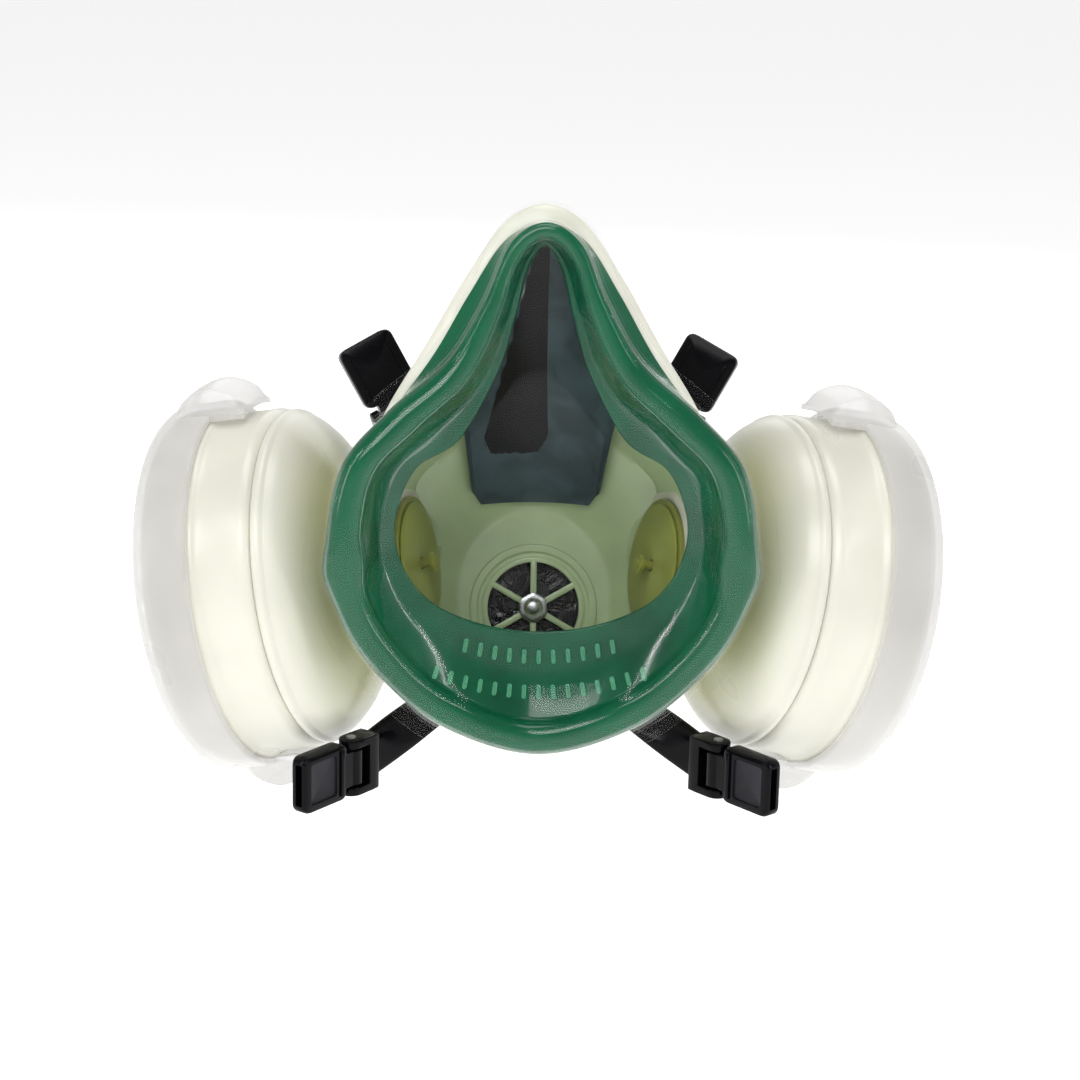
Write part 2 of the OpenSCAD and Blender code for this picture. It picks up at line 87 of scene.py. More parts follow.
class RespiratorColours(bpy.types.PropertyGroup):
    """Colours of the finishes"""
    lip: colour("Seal", "Soft seal", (0.002, 0.1, 0.042))
    # Painted shade: the flap is the lip's own rubber, darker where it turns in.
    flap: colour("Seal flap", "In-turned flap of the seal", (0.002, 0.075, 0.034))
    # Painted shade: the inside of the cream plastic, darker and greener as it looks in shade.
    sage: colour("Body inside", "Inside of the rigid body", (0.46, 0.58, 0.33))
    cream: colour("Cream", "Filter bodies and the outside of the mask", (0.715, 0.705, 0.61))
    # Olive also stands for painted shade on the filters beside the mask.
    olive: colour("Olive", "Inlet ports, and the tint of the filters beside the mask", (0.25, 0.27, 0.045))
    slate: colour("Slate", "Nose liner", (0.045, 0.07, 0.08))
    black: colour("Black", "Buckles, yoke and valve rubber", (0.002, 0.002, 0.003))
    frosted: colour("Frosted", "Retainer caps", (0.77, 0.755, 0.725))
    steel: colour("Bright", "Pins and the outlet valve's hub", (0.55, 0.56, 0.57))
    floor: colour("Floor", "Ground under the part", (0.86, 0.86, 0.86))


# ---------------------------------------------------------------- the frame's own places

def joint(name):
    """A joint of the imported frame, by name."""
    return next(j for j in frame["joints"] if j["name"] == name)


def mount(name):
    """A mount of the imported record, by name."""
    return next(m for m in frame["record"]["mounts"] if m["name"] == name)


def axes_at(origin, x, z):
    """A matrix that puts local X and Z along two directions, at a place in millimetres."""
    z = Vector(z).normalized()
    y = z.cross(Vector(x)).normalized()
    return Matrix.Translation(Vector(origin)) @ Matrix((y.cross(z), y, z)).transposed().to_4x4()


COVER_HEIGHT = 13.8     # outlet cover's face in front of the valve's own plane
VALVE_AXIS = Vector(joint("exhale_flap_lift")["axis"])
VALVE_CENTRE = Vector(mount("outlet_front")["pos_m"]) / MM - COVER_HEIGHT * VALVE_AXIS
FILTER_AXIS = Vector(joint("right_filter_twist")["axis"])
FILTER_CENTRE = Vector(joint("right_filter_twist")["pos_m"]) / MM
AT_VALVE = axes_at(VALVE_CENTRE, (1, 0, 0), VALVE_AXIS)
AT_FILTER = axes_at(FILTER_CENTRE, FILTER_AXIS * FILTER_AXIS.z - Vector((0, 0, 1)), FILTER_AXIS)


def at_buckle(level):
    """The right buckle's frame: its pin along X, its length along Z, its plain face to -Y."""
    swing = joint(f"right_{level}_buckle_swing")
    return axes_at(Vector(swing["pos_m"]) / MM, swing["axis"], mount(f"right_{level}_strap")["axis"])


# ---------------------------------------------------------------- outlines, in millimetres
# Right half of each ring from the nose bridge to the chin

LIP = [(0, 18, 74), (8.5, 17, 69), (14.5, 13.5, 56), (23, 10, 42), (37, 5.5, 30), (48, 2, 17.5),
       (51.5, 0, 0), (49.8, 0, -16), (41.5, 1, -31.5), (24.5, 3.5, -47.5), (0, 5, -55.5)]
FLAP = [(0, 25, 68), (4.3, 24, 62.5), (7.5, 21, 51), (11.5, 19, 38), (20.5, 16, 22), (31, 13, 15),
        (35.8, 12, 2.5), (34, 12, -9), (27, 13, -18.5), (14.5, 15, -24.8), (0, 16, -27)]
REAR = [(0, 24, 73), (9.5, 24, 69), (18, 21, 56.5), (26.5, 18, 42), (36.5, 14, 28.5), (44.5, 11, 15.5),
        (47.5, 9, 0), (45.5, 9, -15), (38, 10, -29), (22, 12.5, -43.5), (0, 14, -51)]
WAIST = [(0, 31, 74.5), (9.5, 31, 70), (19, 28.5, 57), (28, 25, 42), (36.5, 21, 28), (41.5, 20, 14),
         (41, 21, 0), (38.3, 22, -15), (34.5, 22, -30), (21, 23, -45), (0, 24, -52.5)]
SHOULDER = [(0, 52, 32), (7, 52, 29.5), (13.5, 52, 22.5), (20, 51.5, 14.5), (27, 51, 8), (31.5, 51, 2),
            (32, 51, -7), (29.8, 50.5, -18), (26.3, 49.5, -31), (17, 47.5, -44.5), (0, 46, -50.5)]
FRONT = [(0, -3), (7, -4.5), (13, -8), (17.5, -12.5), (20.5, -18), (22, -24),
         (22, -30), (21, -36), (18, -42), (11, -47), (0, -49.5)]
STEPS = 16              # spline steps between two outline points
ROW_STEPS = 10          # spline rows between two rings
PORT_R = 14.5
SLEEVE_R = PORT_R + 2.5
OUTLET_R = 11.8
SHELL_R = 44.6
CAP_R = 46.8
TAB_OUT = 6
PIN_R = 1.26
FORWARD = np.array((0.0, 1.0, 0.0))


def spline(a, b, c, d, t):
    """Catmull-Rom between b and c."""
    square = 2 * a - 5 * b + 4 * c - d
    cube = 3 * b - a - 3 * c + d
    return 0.5 * (2 * b + (c - a) * t + square * t * t + cube * t ** 3)


def ring(half):
    """A closed, smooth ring of points through a right half and its mirror."""
    half = np.array(half, float)
    loop = np.vstack([half, half[-2:0:-1] * (-1, 1, 1)])
    before, after, beyond = np.roll(loop, 1, 0), np.roll(loop, -1, 0), np.roll(loop, -2, 0)
    steps = [spline(before, loop, after, beyond, k / STEPS) for k in range(STEPS)]
    return np.stack(steps, 1).reshape(-1, 3)


def between(rows, steps):
    """Rows by the same spline between given rows, with the end rows repeated."""
    rows = [np.asarray(row, float) for row in rows]
    last = len(rows) - 1
    made = [spline(rows[max(i - 1, 0)], rows[i], rows[i + 1], rows[min(i + 2, last)], k / steps)
            for i in range(last) for k in range(steps)]
    return made + [rows[last]]


def bend(start, corner, end, steps):
    """A quadratic curve from start to end that leans towards a corner."""
    return [(1 - t) ** 2 * start + 2 * t * (1 - t) * corner + t * t * end for t in np.linspace(0, 1, steps)]


def unit(v):
    return v / np.linalg.norm(v, axis=-1, keepdims=True)


def eased(v, low, high):
    """0 below low, 1 above high, and smooth between."""
    t = np.clip((np.asarray(v, float) - low) / (high - low), 0, 1)
    return t * t * (3 - 2 * t)


class MaskRings:
    """The rings that the seal, the body, the nose liner and the storage cover share."""

    def __init__(self, sizes):
        self.wall = sizes.body_wall / MM
        self.lip = ring(LIP)
        self.flap = ring(FLAP)
        gap = (self.flap - self.lip) * (1, 0, 1)
        self.inward = unit(gap)
        self.roll = np.clip(0.3 * np.linalg.norm(gap, axis=1), 2.1, sizes.lip_roll / MM)
        swell = np.exp(-(((self.lip[:, 2] + 8) / 6) ** 2)) * (abs(self.lip[:, 0]) > 40)
        self.bead = sizes.cheek_bead / MM * swell
        lean = -VALVE_AXIS.z / VALVE_AXIS.y
        front = ring([(x, VALVE_CENTRE.y + (z - VALVE_CENTRE.z) * lean, z) for x, z in FRONT])
        outer = np.array(between([ring(REAR), ring(WAIST), ring(SHOULDER)], ROW_STEPS))
        rows = np.concatenate([outer, [front]])
        along = np.roll(rows, -1, 1) - np.roll(rows, 1, 1)
        self.normals = unit(np.cross(along, np.gradient(rows, axis=0)))[:-1]
        inner = outer - self.wall * self.normals
        centre = np.array(VALVE_CENTRE)
        inner_front = front + (centre - front) * self.wall / 20 - self.wall * FORWARD
        self.outer, self.inner = self.fillet(outer, front, centre), self.fillet(inner, inner_front, centre)

    @staticmethod
    def fillet(rows, front, centre, steps=6):
        """Rows carried on to the edge of the front face, and round it by a soft bend."""
        start = rows[-1] + (front - rows[-1]) * 0.86
        straight = [rows[-1] + (start - rows[-1]) * t for t in np.linspace(0, 1, 20)[1:-1]]
        end = front + (centre - front) * 0.07
        return np.concatenate([rows, straight, bend(start, front, end, steps)])

    def at(self, along_inward, forward):
        """Points beside the lip's outermost line, all the way round."""
        along_inward = np.reshape(along_inward * np.ones(len(self.lip)), (-1, 1))
        forward = np.reshape(forward * np.ones(len(self.lip)), (-1, 1))
        return self.lip + self.inward * along_inward + forward * FORWARD

    def arc(self, radius, swell, angles, forward=0.0):
        """Rows round the rolled lip, at a radius and through angles from its outer side."""
        return [self.at(self.roll + (radius + swell) * math.cos(math.radians(a)),
                        self.roll + forward + radius * math.sin(math.radians(a))) for a in angles]


# ---------------------------------------------------------------- shapes

class Shape:
    """Points in millimetres, the faces between them, each face's finish and each point's paint."""

    def __init__(self, points=(), faces=(), marks=None, paint=None):
        self.points = np.asarray(points, float).reshape(-1, 3)
        self.faces = [tuple(int(i) for i in f) for f in faces]
        self.marks = list(marks) if marks is not None else [0] * len(self.faces)
        self.paint = np.zeros(len(self.points)) if paint is None else np.asarray(paint, float)

    def __add__(self, other):
        shift = len(self.points)
        return Shape(np.vstack([self.points, other.points]),
                     self.faces + [tuple(i + shift for i in f) for f in other.faces],
                     self.marks + other.marks, np.concatenate([self.paint, other.paint]))

    def moved(self, matrix):
        m = np.array(matrix)
        return Shape(self.points @ m[:3, :3].T + m[:3, 3], self.faces, self.marks, self.paint)

    def spun(self, angle):
        """Turned round Z by an angle in radians."""
        return self.moved(Matrix.Rotation(angle, 4, "Z"))

    def mirrored(self):
        return Shape(self.points * (-1, 1, 1), [f[::-1] for f in self.faces], self.marks, self.paint)

    def marked(self, mark):
        return Shape(self.points, self.faces, [mark] * len(self.faces), self.paint)

    def painted(self, values):
        return Shape(self.points, self.faces, self.marks, values)

    def volume(self):
        """Signed volume, by fans over every face."""
        total = 0.0
        for face in self.faces:
            a = self.points[face[0]]
            for i, j in zip(face[1:-1], face[2:]):
                total += a @ np.cross(self.points[i], self.points[j])
        return total / 6

    def mesh(self, name, sharp=38):
        """A Blender mesh in metres with its faces outwards, smooth but for sharp edges."""
        faces = self.faces if self.volume() > 0 else [f[::-1] for f in self.faces]
        mesh = bpy.data.meshes.new(name)
        mesh.from_pydata((self.points * MM).tolist(), [], faces)
        mesh.polygons.foreach_set("material_index", self.marks)
        mesh.attributes.new("paint", "FLOAT", "POINT").data.foreach_set("value", self.paint)
        mesh.shade_smooth()
        mesh.set_sharp_from_angle(angle=math.radians(sharp))
        return mesh

    @classmethod
    def of(cls, mesh):
        """The shape of a Blender mesh."""
        points = np.array([v.co for v in mesh.vertices]) / MM
        paint = mesh.attributes.get("paint")
        values = [p.value for p in paint.data] if paint else None
        return cls(points, [tuple(p.vertices) for p in mesh.polygons],
                   [p.material_index for p in mesh.polygons], values)


def grid(rows, close_rows=False, paint=None):
    """Quads over rows of closed rings; close_rows joins the last row to the first."""
    rows = np.asarray(rows, float)
    count, size = rows.shape[:2]
    index = np.arange(count * size).reshape(count, size)
    lower = index if close_rows else index[:-1]
    upper = np.roll(index, -1, 0) if close_rows else index[1:]
    quads = np.stack([lower, np.roll(lower, -1, 1), np.roll(upper, -1, 1), upper], -1)
    if paint is not None:
        paint = np.repeat(paint, size)
    return Shape(rows, quads.reshape(-1, 4), paint=paint)


def capped(shape, size, first, last):
    """A grid of open rows closed by a fan at each end."""
    total = len(shape.points)
    points = np.vstack([shape.points, [first, last]])
    faces = list(shape.faces)
    for i in range(size):
        faces.append((total, (i + 1) % size, i))
        faces.append((total + 1, total - size + i, total - size + (i + 1) % size))
    return Shape(points, faces, paint=np.append(shape.paint, [shape.paint[0], shape.paint[-1]]))


def rounded(corners, radius, steps=4):
    """A closed outline with its corners rounded as far as their sides allow."""
    corners = np.asarray(corners, float)
    made = []
    for before, corner, after in zip(np.roll(corners, 1, 0), corners, np.roll(corners, -1, 0)):
        back, on = before - corner, after - corner
        start = corner + back * min(radius / np.linalg.norm(back), 0.45)
        end = corner + on * min(radius / np.linalg.norm(on), 0.45)
        made += bend(start, corner, end, steps)
    return np.array(made)


def rectangle(x0, x1, y0, y1):
    return [(x0, y0), (x1, y0), (x1, y1), (x0, y1)]


def circles(outline, segments):
    """A ring of points round Z for each (radius, height)."""
    angles = np.linspace(0, 2 * np.pi, segments, endpoint=False)
    return [np.stack([r * np.cos(angles), r * np.sin(angles), np.full(segments, h)], -1)
            for r, h in outline]


def turned(outline, segments=160):
    """A closed outline of (radius, height) turned round Z."""
    return grid(circles(outline, segments), close_rows=True)


def turned_solid(outline, segments=160):
    """An open outline from one point on the axis to another, turned round Z."""
    return capped(grid(circles(outline[1:-1], segments)), segments,
                  (0, 0, outline[0][1]), (0, 0, outline[-1][1]))


def cylinder(radius, low, high):
    """A plain round bar between two heights."""
    return turned_solid([(0, low), (radius, low), (radius, high), (0, high)])


def raised(outline, low, high, edge=0.3):
    """A closed flat outline raised from one height to another, with eased edges."""
    outline = np.asarray(outline, float)
    centre = (outline.max(0) + outline.min(0)) / 2
    size = (outline.max(0) - outline.min(0)) / 2
    rows = []
    for height, inset in ((low, edge), (low + 0.3 * edge, 0.3 * edge), (low + edge, 0),
                          (high - edge, 0), (high - 0.3 * edge, 0.3 * edge), (high, edge)):
        flat = centre + (outline - centre) * (1 - inset / size)
        rows.append(np.column_stack([flat, np.full(len(flat), height)]))
    return capped(grid(rows), len(outline), (*centre, low), (*centre, high))


def block(x, y, z, corner=0.6, edge=0.3):
    """A box between two values on each axis, with rounded uprights and eased ends."""
    return raised(rounded(rectangle(*x, *y), corner, 5), *z, edge)


def rod(radius, half_length, edge=0.25, segments=48):
    """A round bar along X, with eased ends."""
    outline = [(0, -half_length), (radius - edge, -half_length), (radius, edge - half_length),
               (radius, half_length - edge), (radius - edge, half_length), (0, half_length)]
    return turned_solid(outline, segments).moved(Matrix.Rotation(math.pi / 2, 4, "Y"))


def swept(path, facings, widths, thick, steps=10):
    """A rounded bar along a smooth path, wide across and thin along its facing direction."""
    path = np.array(between(path, steps))
    facings = np.array(between(facings, steps))
    along = unit(np.gradient(path, axis=0))
    side = unit(np.cross(facings, along))
    up = np.cross(along, side)
    section = rounded(rectangle(-0.5, 0.5, -0.5, 0.5), 0.3, 5)
    wide = np.linspace(*widths, len(path))
    rows = [p + np.outer(section[:, 0] * w, s) + np.outer(section[:, 1] * thick, u)
            for p, s, u, w in zip(path, side, up, wide)]
    return capped(grid(rows), len(section), path[0], path[-1])


# ---------------------------------------------------------------- nodes

def math_node(operation, swapped=False):
    """An operator for Value that adds one Math node."""
    def apply(self, other):
        first, second = (other, self) if swapped else (self, other)
        return self.tree.node("ShaderNodeMath", {"operation": operation}, {0: first, 1: second})
    return apply


class Value:
    """An output socket that adds Math nodes when it is used in an expression."""

    def __init__(self, tree, socket):
        self.tree = tree
        self.socket = socket

    __add__ = __radd__ = math_node("ADD")
    __mul__ = __rmul__ = math_node("MULTIPLY")
    __sub__ = math_node("SUBTRACT")
    __rtruediv__ = math_node("DIVIDE", swapped=True)


class Tree:
    """A node tree with one way to add any node."""

    def __init__(self, tree):
        self.tree = tree

    def node(self, kind, settings=None, inputs=None, output=0):
        """Adds a node: settings first, then the values or links of its sockets."""
        made = self.tree.nodes.new(kind)
        for name, value in (settings or {}).items():
            setattr(made, name, value)
        for name, value in (inputs or {}).items():
            if isinstance(value, Value):
                self.tree.links.new(value.socket, made.inputs[name])
            else:
                made.inputs[name].default_value = value
        return Value(self, made.outputs[output] if len(made.outputs) else None)


class Finish(Tree):
    """A material's tree: patterns on object coordinates, and one shader at the end."""

    def __init__(self, name):
        self.material = bpy.data.materials.new(name)
        self.material.use_nodes = True
        super().__init__(self.material.node_tree)
        self.tree.nodes.clear()
        self.place = self.node("ShaderNodeTexCoord", output="Object")

    def noise(self, size, detail=3.0, distortion=0.0, stretch=(1, 1, 1)):
        """Noise with features of a size in millimetres."""
        place = self.node("ShaderNodeMapping", {}, {"Vector": self.place, "Scale": stretch})
        return self.node("ShaderNodeTexNoise", {}, {
            "Vector": place, "Scale": 1 / (size * MM), "Detail": detail, "Distortion": distortion})

    def edges(self, size):
        """Distance to the edges between cells of a size in millimetres."""
        return self.node("ShaderNodeTexVoronoi", {"feature": "DISTANCE_TO_EDGE"},
                         {"Vector": self.place, "Scale": 1 / (size * MM)}, "Distance")

    def paint(self):
        return self.node("ShaderNodeAttribute", {"attribute_name": "paint"}, output="Fac")

    def mixed(self, factor, first, second):
        """Two colours mixed."""
        return self.node("ShaderNodeMix", {"data_type": "RGBA"},
                         {"Factor": factor, 6: tinted(first), 7: tinted(second)}, 2)

    def between(self, value, low, high):
        """0 below low, 1 above high, and smooth between."""
        return self.node("ShaderNodeMapRange", {"interpolation_type": "SMOOTHSTEP"},
                         {"Value": value, "From Min": low, "From Max": high})

    def mottled(self, pattern, tint, dark, light, low=0.3, high=0.7):
        """A tint that runs from a darker to a lighter shade as a pattern rises."""
        return self.mixed(self.between(pattern, low, high), shaded(tint, dark), shaded(tint, light))

    def bump(self, height, depth, strength=1.0):
        """A bump whose full height is a depth in millimetres."""
        return self.node("ShaderNodeBump", {}, {
            "Height": height, "Distance": depth * MM, "Strength": strength})

    def surface(self, **inputs):
        """A Principled shader, with words joined by _ for its sockets' names."""
        return self.node("ShaderNodeBsdfPrincipled", {}, {
            " ".join(w if w == "IOR" else w.capitalize() for w in name.split("_")): value
            for name, value in inputs.items()})

    def done(self, shader):
        self.node("ShaderNodeOutputMaterial", {}, {"Surface": shader})
        return self.material


def tinted(value):
    """A colour with its alpha, or a link as it is."""
    return value if isinstance(value, Value) else (*value, 1)


def shaded(tint, factor):
    return tuple(min(1.0, c * factor) for c in tint)


# ---------------------------------------------------------------- finishes

def moulded(name, tint, rough, grain=1.2, depth=0.04, mottle=0.06, coat=0.0, soft=0.0, steps=0.0,
            shine=0.5):
    """Moulded plastic or rubber: faint mottling, an uneven gloss and a fine grain."""
    f = Finish(name)
    cloud, fine = f.noise(14, 4), f.noise(grain, 2)
    return f.done(f.surface(
        base_color=f.mottled(cloud, tint, 1 - mottle, 1 + mottle),
        roughness=fine * 0.06 + cloud * 0.08 + (rough - 0.07), coat_weight=coat, coat_roughness=0.06,
        subsurface_weight=soft, subsurface_radius=(0.006, 0.005, 0.003), subsurface_scale=1.0,
        specular_IOR_level=shine, normal=f.bump(fine * 0.4 + cloud * steps, depth)))


def seal_rubber(tint, flap_shade_tint):
    """Glossy soft rubber, with painted shade that darkens it where the paint runs in along the flap."""
    f = Finish("seal_rubber")
    cloud, slow, fine = f.noise(16, 3), f.noise(34, 2, 0.6), f.noise(1.1, 2)
    # The flap's darker colour is painted shade on the same rubber.
    near, far = f.mottled(cloud, tint, 0.9, 1.12), f.mottled(cloud, flap_shade_tint, 0.85, 1.3)
    return f.done(f.surface(
        base_color=f.mixed(f.paint(), near, far), roughness=fine * 0.05 + cloud * 0.08 + 0.1,
        coat_weight=0.3, coat_roughness=0.03, subsurface_weight=0.06,
        subsurface_radius=(0.001, 0.004, 0.002), subsurface_scale=1.0,
        specular_IOR_level=0.3, normal=f.bump(slow + fine * 0.03, 0.6, 0.6)))


def filter_plastic(cream, olive):
    """Translucent cream plastic, with olive painted shade where the paint says it is near the mask."""
    f = Finish("filter_plastic")
    cloud = f.noise(26, 1, 0.4)
    pale = f.mottled(cloud, cream, 0.95, 1.04)
    return f.done(f.surface(
        base_color=f.mixed(f.paint() * (cloud * 0.5 + 0.75), pale, olive),
        roughness=cloud * 0.12 + 0.24, coat_weight=0.12, coat_roughness=0.15,
        subsurface_weight=0.1, subsurface_radius=(0.008, 0.007, 0.004), subsurface_scale=1.0,
        normal=f.bump(cloud, 0.3, 0.3)))


def frosted_plastic(name, tint, thin):
    """Frosted plastic: the parts behind it show, more so where it faces the eye."""
    f = Finish(name)
    cloud = f.noise(24, 2)
    edge = f.node("ShaderNodeLayerWeight", {}, {"Blend": 0.35}, "Facing")
    shell = f.surface(
        base_color=f.mottled(cloud, tint, 0.95, 1.03), roughness=cloud * 0.1 + 0.24,
        normal=f.bump(cloud, 0.25, 0.3))
    through = f.node("ShaderNodeBsdfTransparent", {}, {"Color": (0.97, 0.97, 0.98, 1)})
    return f.done(f.node("ShaderNodeMixShader", {}, {0: edge * 0.5 + thin, 1: through, 2: shell}))


def clear_sheet():
    """Thin clear sheet: seen through, with reflections that strengthen at a glancing angle."""
    f = Finish("clear_sheet")
    normal = f.bump(f.noise(30, 2, 0.8), 0.9, 0.6)
    bounce = f.node("ShaderNodeFresnel", {}, {"IOR": 1.45, "Normal": normal})
    gloss = f.node("ShaderNodeBsdfAnisotropic", {}, {
        "Color": (1, 1, 1, 1), "Roughness": 0.07, "Normal": normal})
    through = f.node("ShaderNodeBsdfTransparent", {}, {"Color": (0.985, 0.99, 0.985, 1)})
    return f.done(f.node("ShaderNodeMixShader", {}, {0: bounce * 0.12, 1: through, 2: gloss}))


def liner_rubber(tint, dark):
    """Slate lining, near black where the paint marks a patch of painted shade and dark reflection."""
    f = Finish("liner_rubber")
    cloud, fine = f.noise(9, 4, 0.5), f.noise(0.9, 2)
    worn = f.mottled(cloud, tint, 0.8, 1.35, 0.35, 0.65)
    return f.done(f.surface(
        base_color=f.mixed(f.between(f.paint(), 0.4, 0.6), worn, dark), roughness=cloud * 0.25 + 0.2,
        specular_IOR_level=0.25, normal=f.bump(cloud + fine * 0.05, 0.3, 0.6)))


def valve_rubber(tint):
    """Glossy thin rubber with long swirls in its surface; the lighter swirls in its colour are painted sheen."""
    f = Finish("valve_rubber")
    swirl, fine = f.noise(7, 2, 2.2), f.noise(0.8, 2)
    return f.done(f.surface(
        base_color=f.mixed(swirl, tint, shaded(tint, 3)), roughness=swirl * 0.2 + 0.08,
        specular_IOR_level=0.35, normal=f.bump(swirl + fine * 0.02, 1.6, 0.9)))


def screen_plastic(tint):
    """Moulded plastic with a fine, uneven grain."""
    f = Finish("screen_plastic")
    grain = f.noise(0.7, 1)
    return f.done(f.surface(
        base_color=f.mixed(grain, shaded(tint, 0.7), tint), roughness=grain * 0.2 + 0.4,
        normal=f.bump(grain, 0.15)))


def granules(tint):
    """Packed activated carbon."""
    f = Finish("carbon_granules")
    edges = f.edges(1.3)
    return f.done(f.surface(
        base_color=f.mottled(edges, tint, 0.4, 4, 0.02, 0.12),
        roughness=f.noise(0.8) * 0.4 + 0.4, normal=f.bump(f.between(edges, 0, 0.3), 0.5)))


def felt(tint):
    """Needled fibre: fine crossing strands in two directions."""
    f = Finish("pad_felt")
    strands = f.noise(0.5, 4, 1.5, (1, 1, 0.2)) * 0.5 + f.noise(0.5, 4, 1.5, (0.2, 1, 1)) * 0.5
    return f.done(f.surface(
        base_color=f.mottled(strands, tint, 0.82, 1.12, 0.35, 0.65),
        roughness=strands * 0.2 + 0.75, sheen_weight=0.3, normal=f.bump(strands, 0.3)))


def bright_metal(tint):
    """Metal with a fine lay."""
    f = Finish("bright_metal")
    lay = f.noise(0.35, 2, 0.2, (1, 1, 6))
    return f.done(f.surface(
        base_color=f.mixed(lay, shaded(tint, 0.85), tint), metallic=1.0, roughness=lay * 0.15 + 0.2,
        normal=f.bump(lay, 0.02)))


def floor_finish(tint):
    """A pale ground that glows a little, as a lit table does."""
    f = Finish("floor")
    cloud = f.noise(300, 2)
    return f.done(f.surface(
        base_color=f.mixed(cloud, shaded(tint, 0.985), tint), roughness=cloud * 0.1 + 0.7,
        emission_color=(1, 1, 1, 1), emission_strength=0.62))


FINISHES = {
    "seal": lambda c: seal_rubber(c.lip, c.flap),
    # Painted shade: the body's inside and its valve seat, the cream plastic darker and greener.
    "sage": lambda c: moulded("body_inside", c.sage, 0.3, coat=0.3, soft=0.1, steps=0.4),
    "cream": lambda c: moulded("body_outside", c.cream, 0.32, coat=0.2, soft=0.25, steps=0.3),
    "olive": lambda c: moulded("port_plastic", c.olive, 0.35, soft=0.2),
    "inlet": lambda c: moulded("inlet_rubber", shaded(c.olive, 1.15), 0.3, soft=0.3, mottle=0.12),
    "black": lambda c: moulded("black_plastic", c.black, 0.14, 0.8, 0.02, mottle=0.3, shine=0.1),
    "panel": lambda c: moulded("panel_plastic", shaded(c.black, 5), 0.42, 0.5, 0.08, mottle=0.3, shine=0.2),
    "liner": lambda c: liner_rubber(c.slate, c.black),
    "gasket": lambda c: moulded("gasket_rubber", shaded(c.slate, 0.6), 0.55, grain=0.6, mottle=0.15),
    "valve": lambda c: valve_rubber(c.black),
    "filter": lambda c: filter_plastic(c.cream, c.olive),
    "frosted": lambda c: frosted_plastic("frosted_plastic", c.frosted, 0.32),
    # The ribs' light green is painted highlight: clear ribs catching light over the green seal.
    "ribs": lambda c: frosted_plastic("raised_ribs", (0.22, 0.8, 0.45), 0.12),
    "clear": lambda c: clear_sheet(),
    "screen": lambda c: screen_plastic(c.cream),
    "carbon": lambda c: granules(c.black),
    "felt": lambda c: felt(c.cream),
    "metal": lambda c: bright_metal(c.steel),
    "floor": lambda c: floor_finish(c.floor),
}
made_finishes = {}


def finish(name):
    """The named finish, made once."""
    if name not in made_finishes:
        made_finishes[name] = FINISHES[name](bpy.context.scene.respirator_colours)
    return made_finishes[name]


# ---------------------------------------------------------------- making pieces

def add_object(name, mesh, finishes=()):
    """A new object in the scene with its finishes in their slots."""
    thing = bpy.data.objects.new(name, mesh)
    bpy.context.scene.collection.objects.link(thing)
    for kind in finishes:
        mesh.materials.append(finish(kind))
    return thing


def baked(thing):
    """The shape that an object's modifiers make. The object is removed."""
    evaluated = thing.evaluated_get(bpy.context.evaluated_depsgraph_get())
    mesh = bpy.data.meshes.new_from_object(evaluated)
    shape = Shape.of(mesh)
    bpy.data.objects.remove(thing)
    bpy.data.meshes.remove(mesh)
    if not shape.faces:
        raise RuntimeError("a boolean or a node tree made an empty shape")
    return shape


def carved(shape, fused=(), cutters=()):
    """A shape with others fused to it and cut out of it."""
    marks = max([0] + [m for s in (shape, *fused, *cutters) for m in s.marks])
    slots = ("black", "panel")[:marks + 1]
    base = add_object("base", shape.mesh("base"), slots)
    helpers = []
    for operation, others in (("UNION", fused), ("DIFFERENCE", cutters)):
        for other in others:
            helper = add_object("helper", other.mesh("helper"), slots)
            step = base.modifiers.new(operation, "BOOLEAN")
            step.operation = operation
            step.solver = "EXACT"
            step.object = helper
            helpers.append(helper)
    result = baked(base)
    for helper in helpers:
        bpy.data.objects.remove(helper)
    return result


def piece(name, shape, finishes, body, nodes, sharp=38):
    """A finished piece that rides on a body and stands for CAD nodes."""
    mesh = shape.mesh(name, sharp)
    mesh.validate()
    thing = add_object(name, mesh, finishes)
    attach(thing, body)
    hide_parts(*nodes)
    return thing


def pair(name, shape, finishes, body, nodes, sharp=38):
    """The right piece and its mirror image. Names take the side in place of {}."""
    return [piece(name.format(side), placed, finishes, body.format(side),
                  [n.format(side) for n in nodes], sharp)
            for side, placed in zip(SIDES, (shape, shape.mirrored()))]


def refinish(node, kind):
    """Gives a CAD node that stays a finish of this script."""
    thing = frame["nodes"][node]
    thing.data.materials.clear()
    thing.data.materials.append(finish(kind))


